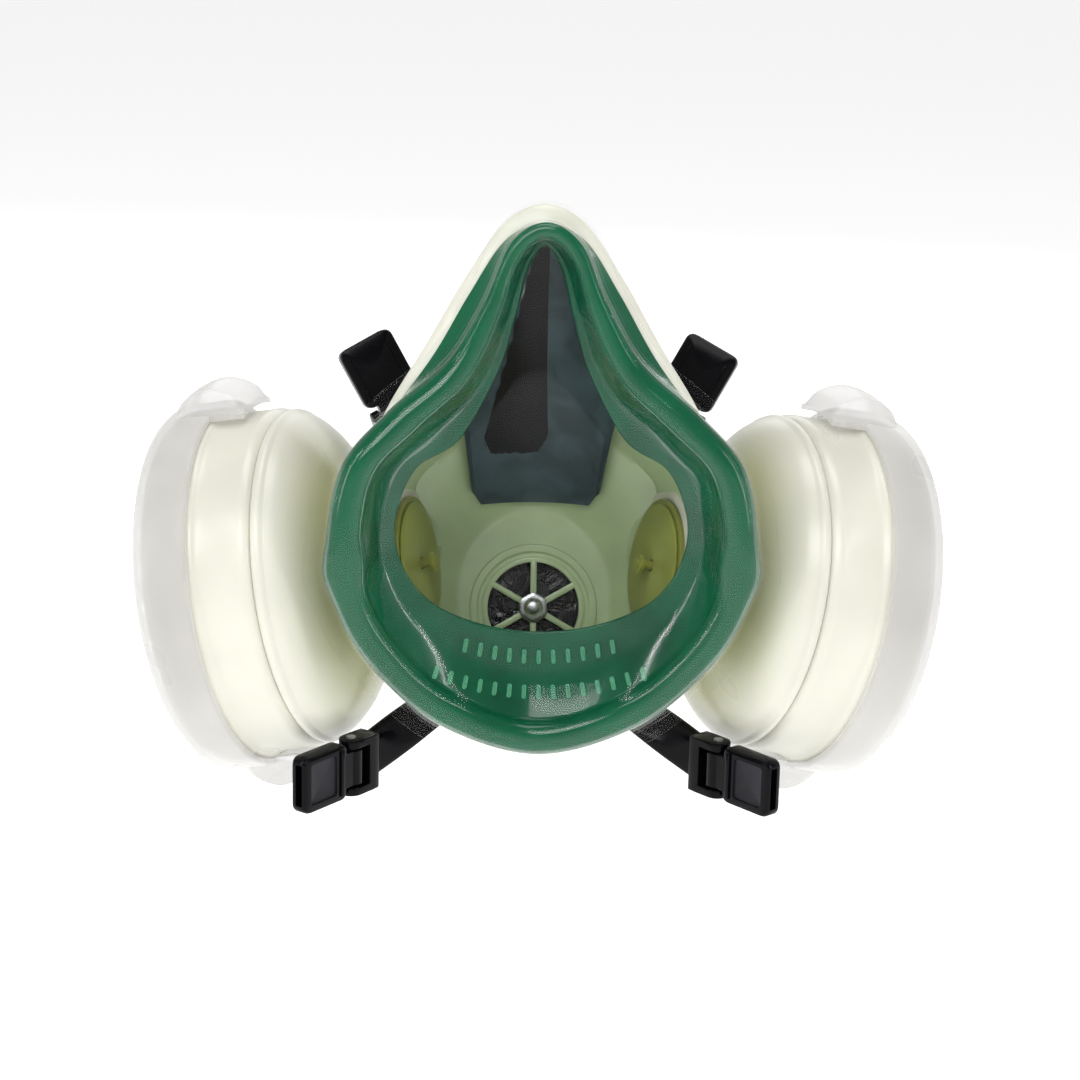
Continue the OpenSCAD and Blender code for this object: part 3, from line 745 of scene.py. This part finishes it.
class NodeGroup(Tree):
    """A geometry tree with named inputs that ends in Realize Instances and Set Material."""

    def __init__(self, name, **inputs):
        tree = bpy.data.node_groups.new(name, "GeometryNodeTree")
        tree.interface.new_socket("Geometry", in_out="INPUT", socket_type="NodeSocketGeometry")
        for label, kind in inputs.items():
            tree.interface.new_socket(label, in_out="INPUT", socket_type="NodeSocket" + kind)
        tree.interface.new_socket("Geometry", in_out="OUTPUT", socket_type="NodeSocketGeometry")
        super().__init__(tree)
        self.inputs = tree.nodes.new("NodeGroupInput")

    def given(self, name):
        return Value(self, self.inputs.outputs[name])

    def finished(self, instances):
        real = self.node("GeometryNodeRealizeInstances", {}, {"Geometry": instances})
        shown = self.node("GeometryNodeSetMaterial", {}, {
            "Geometry": real, "Material": self.given("Material")})
        self.node("NodeGroupOutput", {}, {"Geometry": shown})

    def run(self, shape, kind, **values):
        """Applies the tree to a shape, and returns what it makes."""
        thing = add_object("pattern", shape.mesh("pattern"), [kind])
        step = thing.modifiers.new("pattern", "NODES")
        step.node_group = self.tree
        for item in self.tree.interface.items_tree:
            if item.in_out == "INPUT" and item.name in values:
                step[item.identifier] = values[item.name]
            elif item.in_out == "INPUT" and item.name == "Material":
                step[item.identifier] = finish(kind)
        thing.update_tag()
        return baked(thing)


def round_group():
    """Copies of a shape turned round Z."""
    g = NodeGroup("Copies round an axis", Count="Int", Start="Float", Material="Material")
    points = g.node("GeometryNodePoints", {}, {"Count": g.given("Count")})
    index = g.node("GeometryNodeInputIndex")
    step = 2 * math.pi / g.given("Count")
    turn = g.node("ShaderNodeCombineXYZ", {}, {"Z": index * step + g.given("Start")})
    copies = g.node("GeometryNodeInstanceOnPoints", {}, {
        "Points": points, "Instance": g.given("Geometry"), "Rotation": turn})
    g.finished(copies)
    return g


def rib_group():
    """A row of ribs laid on a surface along a shallow arc. Sizes are in metres."""
    g = NodeGroup("Ribs on a surface", Surface="Object", Count="Int", Pitch="Float", Height="Float",
                  Bow="Float", Material="Material")
    points = g.node("GeometryNodePoints", {}, {"Count": g.given("Count")})
    index = g.node("GeometryNodeInputIndex")
    across = (index - (g.given("Count") - 1) * 0.5) * g.given("Pitch")
    spot = g.node("ShaderNodeCombineXYZ", {}, {
        "X": across, "Y": -0.05, "Z": across * across * g.given("Bow") + g.given("Height")})
    spread = g.node("GeometryNodeSetPosition", {}, {"Geometry": points, "Position": spot})
    target = g.node("GeometryNodeObjectInfo", {}, {"Object": g.given("Surface")}, "Geometry")
    ray = {"Target Geometry": target, "Ray Direction": (0, 1, 0), "Ray Length": 0.2}
    hit = g.node("GeometryNodeRaycast", {}, ray, "Hit Position")
    face = Value(g, hit.socket.node.outputs["Hit Normal"])
    stored = g.node("GeometryNodeStoreNamedAttribute", {"data_type": "FLOAT_VECTOR"},
                    {"Geometry": spread, "Name": "face", "Value": face})
    laid = g.node("GeometryNodeSetPosition", {}, {"Geometry": stored, "Position": hit})
    kept = g.node("GeometryNodeInputNamedAttribute", {"data_type": "FLOAT_VECTOR"}, {"Name": "face"})
    turn = g.node("FunctionNodeAlignRotationToVector", {"axis": "Z"}, {"Vector": kept})
    copies = g.node("GeometryNodeInstanceOnPoints", {}, {
        "Points": laid, "Instance": g.given("Geometry"), "Rotation": turn})
    g.finished(copies)
    return g


# ---------------------------------------------------------------- pieces

def upright_plate(outline, y, edge=0.05):
    """A flat outline in X and Z, as thick as the span between two values of Y."""
    lie = Matrix(((1, 0, 0, 0), (0, 0, -1, 0), (0, 1, 0, 0), (0, 0, 0, 1)))
    return raised(outline, -y[1], -y[0], edge).moved(lie)


class RESPIRATOR_OT_seal(bpy.types.Operator):
    """Makes the soft face seal: rolled lip, cheek beads and in-turned flap"""
    bl_idname = "respirator.seal"
    bl_label = "Face seal"

    def execute(self, context):
        sizes = context.scene.respirator_sizes
        mask = MaskRings(sizes)
        wall = np.minimum(sizes.seal_wall / MM, mask.roll * 0.62)
        inner_edge = mask.at(2 * mask.roll, mask.roll)
        middle = (inner_edge + mask.flap) / 2 + 1.6 * FORWARD
        out = mask.arc(mask.roll, mask.bead, range(180, 361, 12))
        sheet = between([out[-3], out[-1], middle, mask.flap], 8)[9:]
        tip = [mask.flap + 0.6 * FORWARD + 0.6 * (FORWARD * -math.cos(a) + mask.inward * math.sin(a))
               for a in np.linspace(0.4, math.pi - 0.4, 5)]
        back_middle = middle + wall[:, None] * FORWARD - 0.4 * mask.inward
        back = mask.arc(mask.roll - wall, 0, range(360, 179, -20), wall * 0.6)
        back_sheet = between([mask.flap + 1.2 * FORWARD, back_middle, back[0]], 5)
        join = between([mask.outer[0], out[0], out[2]], 4)[:4]
        rows = join + out + sheet + tip + back_sheet[:-1] + back + [mask.inner[0]]
        lip_rows, flap_rows = len(join + out), len(sheet + tip)
        # The flap's points are marked for painted shade, darker than the lip.
        paint = [0] * (lip_rows - 4) + list(eased(np.arange(flap_rows + 4), 0, 9))
        paint += [1] * (len(rows) - len(paint))
        piece("face_seal_rubber", grid(rows, True, paint), ["seal"], "mask", ["face_seal"], 60)
        return {"FINISHED"}


class RESPIRATOR_OT_body(bpy.types.Operator):
    """Makes the rigid body with its port bosses, and the nose liner inside it"""
    bl_idname = "respirator.body"
    bl_label = "Body and nose liner"

    def execute(self, context):
        sizes = context.scene.respirator_sizes
        mask = MaskRings(sizes)
        rows = np.concatenate([mask.inner[::-1], mask.outer])
        centre = np.array(VALVE_CENTRE)
        size = rows.shape[1]
        shell = capped(grid(rows), size, centre - mask.wall * FORWARD, centre)
        inside = len(mask.inner) * size
        # Inside faces take the painted shade of the cream plastic, outside faces the cream.
        shell.marks = [0 if min(f) < inside else 1 for f in shell.faces]
        outlet = cylinder(OUTLET_R + 4.7, -10, 5).moved(AT_VALVE)
        boss_r, eased_edge, rear, face = PORT_R + 5.5, 0.5, -28, -20.2
        boss = turned_solid([(0, rear), (boss_r - eased_edge, rear), (boss_r, rear + eased_edge),
                             (boss_r, face - eased_edge), (boss_r - eased_edge, face),
                             (0, face)]).moved(AT_FILTER).marked(1)
        hole = cylinder(PORT_R + 2.56, -33, -12).moved(AT_FILTER)
        shell = carved(shell, [boss, boss.mirrored()], [outlet, hole, hole.mirrored()])
        piece("body_shell", shell, ["sage", "cream"], "mask", ["mask_body"], 45)
        self.liner(mask, sizes.liner_wall / MM)
        return {"FINISHED"}

    @staticmethod
    def liner(mask, wall):
        """A lining under the nose bridge, from near the rear edge to the front face."""
        reach = 11 * STEPS // 4
        stations = np.arange(-reach, reach + 1)
        first, last = 3, len(mask.inner) - 4
        outer = mask.inner[first:last + 1, stations]
        drop = np.minimum(np.arange(first, last + 1), len(mask.normals) - 1)
        inner = outer - wall * mask.normals[drop][:, stations]
        loop = np.concatenate([outer[::-1], [outer[0] * 0.5 + inner[0] * 0.5 - 0.3 * FORWARD], inner])
        sections = loop.transpose(1, 0, 2)
        liner = capped(grid(sections), len(loop), sections[0].mean(0), sections[-1].mean(0))
        below = upright_plate([(-60, -30), (60, -30), (60, -4.2), (-60, -4.2)], (30, 70))
        corner = upright_plate([(13.8, -8), (13.8, -4.2), (22, 10), (60, 10), (60, -8)], (30, 70))
        liner = carved(liner, (), [below, corner, corner.mirrored()])
        # A near-black patch left of the middle of the lining is painted shade and dark reflection.
        x, z = liner.points[:, 0], liner.points[:, 2]
        height = np.clip((z - 10) / 52, 0, 1)
        middle = -5.7 + 5 * height
        half = np.minimum(9.2 - 7 * height ** 0.8, 6 + 0.5 * (z - 10))
        shade_patch = eased(half - abs(x - middle), -0.5, 0.5) * eased(z, 9, 10.5)
        piece("nose_lining", liner.painted(shade_patch), ["liner"], "mask", ["nose_liner"], 50)


class RESPIRATOR_OT_cover(bpy.types.Operator):
    """Makes the clear storage cover that lies over the seal, and the ribs on it"""
    bl_idname = "respirator.storage_cover"
    bl_label = "Storage cover"

    def execute(self, context):
        sizes = context.scene.respirator_sizes
        mask = MaskRings(sizes)
        gap, wall, flange = 0.8, sizes.cover_wall / MM, 3.2
        floor = np.array((0, 14, 4))

        def inside(share, drop):
            edge = mask.at(2 * mask.roll, mask.roll)
            hollow = 6.4 * share * (1 - share) - 0.7 - drop
            return edge + (mask.flap - edge) * share + 0.8 * mask.inward + hollow * FORWARD

        def rim(out, forward):
            return mask.at(-gap - mask.bead - wall - out, mask.roll + forward)

        def side(drop):
            """One face of the sheet, from near its middle out to its flange."""
            lift = wall - drop
            middle = floor - drop * FORWARD
            rows = [inside(1, drop) + (middle - inside(1, drop)) * t for t in (0.92, 0.7, 0.45, 0.25, 0.1)]
            rows += between([inside(1, drop), inside(0.5, drop)], 6)
            over = mask.roll + gap + drop
            rows += mask.arc(over, mask.bead, range(325, 179 + int(lift), -12))
            return rows + [rim(o - 0.01 * lift, -drop) for o in (0.2, 1.2, 2.2, flange)]

        top, under = side(wall), side(0)
        edge = [rim(flange + 0.2, -wall / 2)]
        rows = top + edge + under[::-1]
        sheet = capped(grid(rows), len(mask.lip), floor - wall * FORWARD, floor)
        cover = piece("storage_cover_sheet", sheet, ["clear"], "storage_cover", ["storage_cover"],
                      70)
        rib = block((-0.5, 0.5), (-1.7, 1.7), (-0.3, sizes.rib_height / MM), 0.5, 0.2)
        group = rib_group()
        # The ribs' light green finish is painted highlight.
        rows = [group.run(rib, "ribs", Surface=cover, Count=count, Pitch=sizes.rib_pitch,
                          Height=height * MM, Bow=10.0) for count, height in ((11, -32.0), (15, -40.0))]
        piece("storage_cover_ribs", rows[0] + rows[1], ["ribs"], "storage_cover", [])
        return {"FINISHED"}


class RESPIRATOR_OT_outlet(bpy.types.Operator):
    """Makes the outlet valve: seat, hub, flap and slotted cover"""
    bl_idname = "respirator.outlet"
    bl_label = "Outlet valve"

    def execute(self, context):
        sizes = context.scene.respirator_sizes
        copies = round_group()
        seat_r = OUTLET_R + 4.64
        seat = turned(rounded([(OUTLET_R, -2.6), (OUTLET_R + 1.2, -2.6), (OUTLET_R + 1.6, -2.1),
                               (seat_r - 2.2, -2.1), (seat_r - 1.8, -2.6), (seat_r, -2.6), (seat_r, 0.8),
                               (OUTLET_R + 1.5, 0.8), (OUTLET_R + 1.2, 1.2), (OUTLET_R + 0.6, 1.2),
                               (OUTLET_R, 0.5)], 0.3, 4))
        spoke = block((3, OUTLET_R + 0.6), (-0.8, 0.8), (-2.6, -0.8), 0.3, 0.35)
        # The seat and its spokes take the painted shade of the body's inside.
        spokes = copies.run(spoke, "sage", Count=6, Start=math.pi / 6)
        stud = turned_solid([(0, -1.5), (1.2, -1.5), (1.2, 4), (2.2, 4), (2.4, 4.2), (2.4, 4.6),
                             (2.0, 4.9), (0, 4.9)], 48)
        seat = carved(seat, [spokes, stud]).moved(AT_VALVE)
        piece("outlet_seat", seat, ["sage"], "mask", ["exhale_seat"])
        hexagon = [(4.3 * math.cos(a), 4.3 * math.sin(a)) for a in np.radians(range(30, 390, 60))]
        hub = raised(rounded(hexagon, 0.8), -3.0, -0.85, 0.7)
        dome = turned_solid([(0, -2.9), (2.6, -2.9), (2.4, -3.3), (1.4, -3.9), (0, -4.1)], 48)
        piece("outlet_hub", carved(hub, [dome]).moved(AT_VALVE), ["metal"], "mask", [])
        flap = turned(rounded([(1.55, 1.35), (4, 1.35), (4.4, 1.3), (13.6, 1.3), (13.6, 2.1), (12.6, 2.1),
                               (12.2, 1.85), (5, 1.85), (4.4, 2.1), (1.55, 2.1)], 0.2, 3)).moved(AT_VALVE)
        piece("outlet_flap", flap, ["valve"], "exhale_flap", ["exhale_flap"])
        base = turned(rounded([(16.8, 0), (18, 0), (18, 3.4), (16.8, 3.4)], 0.25, 4))
        top = COVER_HEIGHT
        lid = [(0, 12), (15.6, 12), (16.8, 10.9), (16.8, 10), (18, 10), (18, 12.6), (17.7, 13.3),
               (17, 13.7), (16.2, top), (12.6, top), (12.2, 13.4), (11.4, 13.4), (11, top), (0, top)]
        width = 2 * math.pi * 18 / sizes.cover_slots - 3.2
        post = block((16.85, 17.95), (-width / 2, width / 2), (3, 10.4), 0.3, 0.1)
        posts = copies.run(post, "cream", Count=sizes.cover_slots, Start=0.0)
        grip = block((17.4, 19.2), (-2.5, 2.5), (4.6, 12.4), 0.6, 0.3)
        grips = copies.run(grip, "cream", Count=2, Start=0.0)
        cover = carved(turned_solid(lid), [base, posts, grips])
        piece("outlet_guard", cover.moved(AT_VALVE), ["cream"], "outlet_cover", ["outlet_cover"])
        return {"FINISHED"}


class RESPIRATOR_OT_yoke(bpy.types.Operator):
    """Makes the harness yoke: a ring round the valve, four arms and their forks"""
    bl_idname = "respirator.yoke"
    bl_label = "Harness yoke"

    def execute(self, context):
        ring_part = turned(rounded([(18.5, 0), (22, 0), (22, 2.6), (18.5, 2.6)], 0.7, 5)).moved(AT_VALVE)
        upper = swept([(12.4, 61, -16.8), (15.5, 62.2, -11), (19, 61, -4.5), (24.5, 57.5, 5),
                       (28.5, 52.5, 12), (31.6, 47.6, 16.6)],
                      [(0, 1, -0.27), (0.15, 1, 0), (0.4, 1, 0.25), (0.6, 1, 0.4),
                       (0.6, 0.9, 0.5), (0.2, 0.95, -0.2)], (7, 9), 2.8)
        lower = swept([(11.5, 53.2, -46.6), (19, 48.5, -51.5), (30, 38.5, -56.8), (42.5, 27, -63)],
                      [(0, 1, -0.27), (0.4, 1, -0.5), (0.6, 0.8, -0.4), (0.79, 0.62, 0)], (7, 12), 2.8)
        right = [upper, lower] + [self.fork().moved(at_buckle(level)) for level in LEVELS]
        parts = right + [part.mirrored() for part in right]
        yoke = carved(ring_part, parts)
        piece("harness_yoke_moulding", yoke, ["black"], "mask", ["harness_yoke"])
        return {"FINISHED"}

    @staticmethod
    def fork():
        """Two ears round a buckle's pin and the block that joins them."""
        radius, wall, middle = 3.1, 2.2, 6.2
        top = [(radius * math.sin(a), radius * math.cos(a))
               for a in np.linspace(-math.pi / 2, math.pi / 2, 17)]
        outline = [(-radius, -5.6), *top, (radius, -5.6)]
        ear = raised(outline, -wall / 2, wall / 2, 0.3)
        stand = Matrix(((0, 0, 1, 0), (1, 0, 0, 0), (0, 1, 0, 0), (0, 0, 0, 1)))
        ears = [ear.moved(Matrix.Translation((s * middle, 0, 0)) @ stand) for s in (-1, 1)]
        half = middle + wall / 2
        bridge = block((-half, half), (-radius, radius), (-7.4, -3.8), 0.5, 0.3)
        bore = rod(PIN_R - 0.03, 12, 0.1)
        return carved(bridge, ears, [bore])


class RESPIRATOR_OT_buckles(bpy.types.Operator):
    """Makes the four strap buckles, and finishes their pins"""
    bl_idname = "respirator.buckles"
    bl_label = "Buckles"
    width = 14.6
    reach = 20

    def execute(self, context):
        for level in LEVELS:
            shape = (self.upper() if level == "upper" else self.lower()).moved(at_buckle(level))
            name = "{}_" + level + "_buckle"
            pair(name + "_moulding", shape, ["black", "panel"], name, [name])
            for side in SIDES:
                refinish(f"{side}_{level}_pin", "metal")
        return {"FINISHED"}

    def plate(self, x, z, y, radius, edge=0.5):
        """A flat plate in X and Z between two values of Y, with rounded corners."""
        return upright_plate(rounded(rectangle(*x, *z), radius, 7), y, edge)

    def sleeve(self, fused=(), cutters=()):
        """The flat sleeve for the strap on its knuckle."""
        half = self.width / 2
        plate = self.plate((-half, half), (3.9, self.reach), (-2.2, 2.4), 2.3, 0.7)
        knuckle = rod(2.9, 4.7, 0.4)
        neck = block((-4.7, 4.7), (-2.2, 1.4), (0, 5), 0.5, 0.1)
        bore = rod(PIN_R, 10, 0.1)
        passage = block((-5.3, 5.3), (-1, 1), (6, self.reach + 6), 0.3, 0.1)
        opening = self.plate((-5.3, 5.3), (6, 10.4), (0, 5), 0.5, 0.1)
        return carved(plate, [knuckle, neck, *fused], [bore, passage, opening, *cutters])

    def upper(self):
        """Two thin ridges run along the plain face."""
        ridges = [self.plate((e * 5.1 - 0.25, e * 5.1 + 0.25), (5, self.reach - 3), (-2.7, -1.9), 0.24, 0.2)
                  for e in (-1, 1)]
        return self.sleeve(ridges)

    def lower(self):
        """A shallow framed panel, and a rib across the face near the pin."""
        inset = self.width / 2 - 2
        panel = self.plate((-inset, inset), (8, self.reach - 2.2), (-3, -1.6), 1.0, 0.1).marked(1)
        rib = self.plate((1.2 - self.width / 2, self.width / 2 - 1.2), (5.4, 6.8), (-2.8, -1.9), 0.5, 0.3)
        return self.sleeve([rib], [panel])


class RESPIRATOR_OT_ports(bpy.types.Operator):
    """Makes the inlet flaps, and finishes the ports and their gaskets"""
    bl_idname = "respirator.ports"
    bl_label = "Inlet ports"

    def execute(self, context):
        outer = PORT_R + 1.1
        flap = turned(rounded([(1.55, -29.9), (outer - 1, -29.9), (outer, -29.75), (outer, -29.25),
                               (outer - 0.4, -29.1), (outer - 1.2, -29.35), (5, -29.35), (4.2, -29.1),
                               (1.55, -29.1)], 0.2, 3))
        pair("{}_inlet_flap", flap.moved(AT_FILTER), ["inlet"], "{}_inhale_flap",
             ["{}_inhale_flap"])
        for side in SIDES:
            refinish(f"{side}_port", "olive")
            refinish(f"{side}_port_gasket", "gasket")
        return {"FINISHED"}


class RESPIRATOR_OT_filters(bpy.types.Operator):
    """Makes the filter bowls, walls and particle pads, and finishes what is inside"""
    bl_idname = "respirator.filters"
    bl_label = "Filters"

    def execute(self, context):
        bowl = self.bowl().moved(AT_FILTER)
        wall = self.wall().moved(AT_FILTER)
        pad = self.pad(context.scene.respirator_sizes.pleat_pitch / MM).moved(AT_FILTER)
        pair("{}_filter_bowl", bowl, ["filter"], "{}_filter", ["{}_filter_base"], 50)
        pair("{}_filter_wall", wall, ["filter"], "{}_filter", ["{}_filter_shell"], 50)
        for made in pair("{}_filter_pad", pad, ["felt"], "{}_filter", ["{}_particle_pad"], 80):
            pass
        for side in SIDES:
            refinish(f"{side}_inner_screen", "screen")
            refinish(f"{side}_outer_screen", "screen")
            refinish(f"{side}_sorbent_bed", "carbon")
        return {"FINISHED"}

    @staticmethod
    def tint(shape):
        """Painted shade: olive beside the mask, fading out towards the rim."""
        return shape.painted(0.85 * (1 - eased(shape.points[:, 2], -17, -3)) ** 1.3)

    def bowl(self):
        """A swelling bowl with a rolled bead at its rim, and entries for the bayonet lugs."""
        outside = between([(23, -15.8), (26.5, -14.3), (31.6, -12.0), (36.3, -9.0), (39.8, -5.7),
                           (41.3, -3.4)], 5)
        bead = [(41.5, -2.9), (42.1, -2.5), (42.4, -1.8), (42.4, -1.0), (42.1, -0.4), (41.6, 0)]
        hook = [(40.4, 0), (40.4, -2.2), (38.3, -2.6), (36, -6.6), (32, -9.4), (25.4, -12.4), (15.5, -12.4),
                (15.5, -13.9), (SLEEVE_R + 2.3, -13.9), (SLEEVE_R + 2.3, -17.3), (SLEEVE_R + 0.3, -17.3)]
        foot = [(SLEEVE_R + 0.3, -18.3), (22.6, -18.3), (23, -17.9)]
        bowl = turned([*foot, *outside, *bead, *hook], 192)
        entries = []
        for k in range(3):
            angles = np.radians(np.linspace(k * 120 + 53, k * 120 + 87, 9))
            section = rectangle(SLEEVE_R - 1, SLEEVE_R + 1.9, -19, -17)
            rows = [[(r * math.cos(a), r * math.sin(a), h) for r, h in section] for a in angles]
            entries.append(capped(grid(rows), 4, np.mean(rows[0], 0), np.mean(rows[-1], 0)))
        return self.tint(carved(bowl, (), entries))

    def wall(self):
        """The filter's outer wall with soft bands, closed by a disc with radial slots."""
        outside = between([(41.6, 0.1), (42.5, 0.9), (43.1, 2.4), (43.05, 4.5), (43.1, 8), (43.35, 11),
                           (43.7, 13), (44.4, 14.1), (SHELL_R, 15)], 4)
        wall = turned_solid([(0, 20), (40.4, 20), (40.4, 0.1), *outside, (SHELL_R, 22.2), (44.3, 22.5),
                             (43.2, 22.5), (43, 22.2), (43, 21.6), (0, 21.6)], 192)
        slots = []
        for k in range(24):
            start, end = (10, 39) if k % 2 == 0 else (24, 39)
            slot = block((start, end), (-1.3, 1.3), (19, 23), 1.2, 0.05)
            slots.append(slot.spun(math.radians(15 * k)))
        return self.tint(carved(wall, (), slots))

    @staticmethod
    def pad(pitch):
        """A felt disc folded into parallel pleats, flat at its edge and underneath."""
        radii = np.concatenate([np.linspace(0.4, 41.6, 84), np.linspace(42, 43.8, 6)])
        angles = np.linspace(0, 2 * np.pi, 240, endpoint=False)
        crown = np.interp(radii, [0, 34, 41.4, 43.8], [28.7, 28.7, 27.4, 25.2])
        rows = []
        for r, h in zip(radii, crown):
            x, y = r * np.cos(angles), r * np.sin(angles)
            fold = 0.5 - 0.5 * np.cos(2 * np.pi * y / pitch)
            rows.append(np.stack([x, y, h - 1.5 * fold * (1 - eased(r, 38.5, 41.5))], -1))
        base = 22.5
        rows += circles([(43.8, base), (43.4, base), (20, base)], len(angles))
        return capped(grid(rows), len(angles), (0, 0, crown[0]), (0, 0, base))


class RESPIRATOR_OT_caps(bpy.types.Operator):
    """Makes the frosted retainer caps with their slots and thumb tabs"""
    bl_idname = "respirator.caps"
    bl_label = "Retainer caps"
    inner = SHELL_R + 0.4

    def execute(self, context):
        inner = self.inner
        skirt = turned_solid([
            (0, 31.4), (14, 31.4), (15, 31.1), (37.2, 30.9), (38.2, 30.8), (39.6, 30.6),
            *between([(41.5, 30.4), (44.6, 28.8), (46.3, 26.6), (CAP_R, 24.2)], 4),
            (CAP_R, 15.6), (46.6, 15), (46.2, 14.7), (inner + 0.2, 14.7), (inner, 15), (inner, 24),
            (inner - 0.3, 25.6), (43.3, 27.4), (40.7, 28.7), (34.8, 29.6), (0, 29.6)], 192)
        tab = self.tab()
        slots = context.scene.respirator_sizes.cap_slots
        slot = block((16, 37), (-1.4, 1.4), (27, 35), 1.3, 0.05)
        cutters = [slot.spun(2 * math.pi * (k + 0.5) / slots) for k in range(slots)]
        cap = carved(skirt, [tab, tab.spun(math.pi)], cutters).moved(AT_FILTER)
        pair("{}_cap_moulding", cap, ["frosted"], "{}_retainer_cap", ["{}_retainer_cap"], 45)
        return {"FINISHED"}

    def tab(self):
        """A bell-shaped thumb tab that stands out of the skirt."""
        inner = self.inner
        root, half = CAP_R - 0.6, 13
        swell = [(CAP_R + TAB_OUT * out, h) for out, h in (
            (0.42, 7.4), (0.76, 10.4), (0.95, 13.6), (0.95, 16.4), (0.76, 19.6), (0.42, 22.6))]
        crest = between([(CAP_R - 0.4, 5.6), *swell, (root, 24.4)], 4)
        under = [(inner + 0.4, 24.4), (inner + 0.4, 15), (inner, 15), (inner, 5.6)]
        sections = []
        for degrees in np.linspace(-half, half, 33):
            rise = 1 - eased(abs(degrees), 9.5, half)
            angle = math.radians(degrees)
            outline = [(min(r, root) + (r - min(r, root)) * rise, h) for r, h in crest] + under
            sections.append([(r * math.cos(angle), r * math.sin(angle), h) for r, h in outline])
        return capped(grid(sections), len(sections[0]), np.mean(sections[0], 0), np.mean(sections[-1], 0))


# ---------------------------------------------------------------- stage

def looking_back(place):
    """A matrix that stands at a place and looks at the origin."""
    return Matrix.Translation(place) @ (-place).to_track_quat("-Z", "Y").to_matrix().to_4x4()


class RESPIRATOR_OT_stage(bpy.types.Operator):
    """Makes the floor, the soft lights and the camera"""
    bl_idname = "respirator.stage"
    bl_label = "Stage"
    floor_span = (-6.0, 6.0)
    floor_height = -0.16
    lights = (              # name, place, sides in metres, watts
        ("left strip", (-0.95, -0.45, 0.45), (0.06, 0.9), 2.4),
        ("right strip", (0.95, -0.5, 0.4), (0.06, 0.9), 2.1),
        ("key", (-0.25, -1.0, 1.05), (1.1, 0.55), 9),
        ("overhead", (0.05, 0.1, 1.2), (0.9, 0.5), 5),
        ("front", (0.3, 1.2, 0.6), (1.2, 0.6), 3),
    )

    def execute(self, context):
        corners = [(x, y, self.floor_height) for x, y in rectangle(*self.floor_span, *self.floor_span)]
        mesh = bpy.data.meshes.new("floor")
        mesh.from_pydata(corners, [], [(0, 1, 2, 3)])
        add_object("floor", mesh, ["floor"])
        context.scene.world = self.studio()
        for light in self.lights:
            self.area(*light)
        self.camera(context)
        context.scene.view_settings.view_transform = "Standard"
        return {"FINISHED"}

    @staticmethod
    def studio():
        """A pale room, dimmer overhead."""
        world = bpy.data.worlds.new("studio")
        world.use_nodes = True
        room = Tree(world.node_tree)
        room.tree.nodes.clear()
        way = room.node("ShaderNodeTexCoord", output="Generated")
        height = room.node("ShaderNodeSeparateXYZ", {}, {0: way}, "Z")
        glow = room.node("ShaderNodeMapRange", {"interpolation_type": "SMOOTHSTEP"}, {
            "Value": height, "From Min": 0.1, "From Max": 0.5, "To Min": 0.85, "To Max": 0.25})
        shade = room.node("ShaderNodeBackground", {}, {"Color": (1, 1, 1, 1), "Strength": glow})
        room.node("ShaderNodeOutputWorld", {}, {"Surface": shade})
        return world

    @staticmethod
    def area(name, place, sides, power):
        """A soft light that looks at the part."""
        light = bpy.data.lights.new(name, "AREA")
        light.shape = "RECTANGLE"
        light.size, light.size_y = sides
        light.energy = power
        lamp = bpy.data.objects.new(name, light)
        bpy.context.scene.collection.objects.link(lamp)
        lamp.matrix_world = looking_back(Vector(place))

    @staticmethod
    def camera(context):
        """The part from behind the wearer's head, a little above."""
        azimuth, elevation, roll = np.radians((-2.5, 15, 1.25))
        distance = 0.65
        back = Vector((math.sin(azimuth) * math.cos(elevation), -math.cos(azimuth) * math.cos(elevation),
                       math.sin(elevation)))
        data = bpy.data.cameras.new("camera")
        data.sensor_width = 36
        data.lens = 91.4
        data.shift_x = -0.00324
        data.shift_y = 0.00463
        camera = bpy.data.objects.new("camera", data)
        context.scene.collection.objects.link(camera)
        camera.matrix_world = looking_back(back * distance) @ Matrix.Rotation(roll, 4, "Z")
        context.scene.camera = camera


OPERATORS = (RESPIRATOR_OT_seal, RESPIRATOR_OT_body, RESPIRATOR_OT_cover, RESPIRATOR_OT_outlet,
             RESPIRATOR_OT_yoke, RESPIRATOR_OT_buckles, RESPIRATOR_OT_ports, RESPIRATOR_OT_filters,
             RESPIRATOR_OT_caps, RESPIRATOR_OT_stage)


class RESPIRATOR_PT_panel(bpy.types.Panel):
    """Lists the sizes, the colours and the steps that build the part"""
    bl_idname = "RESPIRATOR_PT_panel"
    bl_label = "Respirator"
    bl_space_type = "VIEW_3D"
    bl_region_type = "UI"
    bl_category = "Respirator"

    def draw(self, context):
        for group in (context.scene.respirator_sizes, context.scene.respirator_colours):
            for name in group.bl_rna.properties.keys():
                if name not in ("rna_type", "name"):
                    self.layout.prop(group, name)
        for operator in OPERATORS:
            self.layout.operator(operator.bl_idname)


CLASSES = (RespiratorSizes, RespiratorColours, *OPERATORS, RESPIRATOR_PT_panel)


def register():
    for cls in CLASSES:
        bpy.utils.register_class(cls)
    bpy.types.Scene.respirator_sizes = PointerProperty(type=RespiratorSizes)
    bpy.types.Scene.respirator_colours = PointerProperty(type=RespiratorColours)


def unregister():
    del bpy.types.Scene.respirator_colours
    del bpy.types.Scene.respirator_sizes
    for cls in reversed(CLASSES):
        bpy.utils.unregister_class(cls)


def main():
    register()
    for operator in OPERATORS:
        step = operator.bl_idname.split(".")[1]
        if getattr(bpy.ops.respirator, step)() != {"FINISHED"}:
            raise RuntimeError(f"{operator.bl_label} wasn't made")


if __name__ == "__main__":
    main()
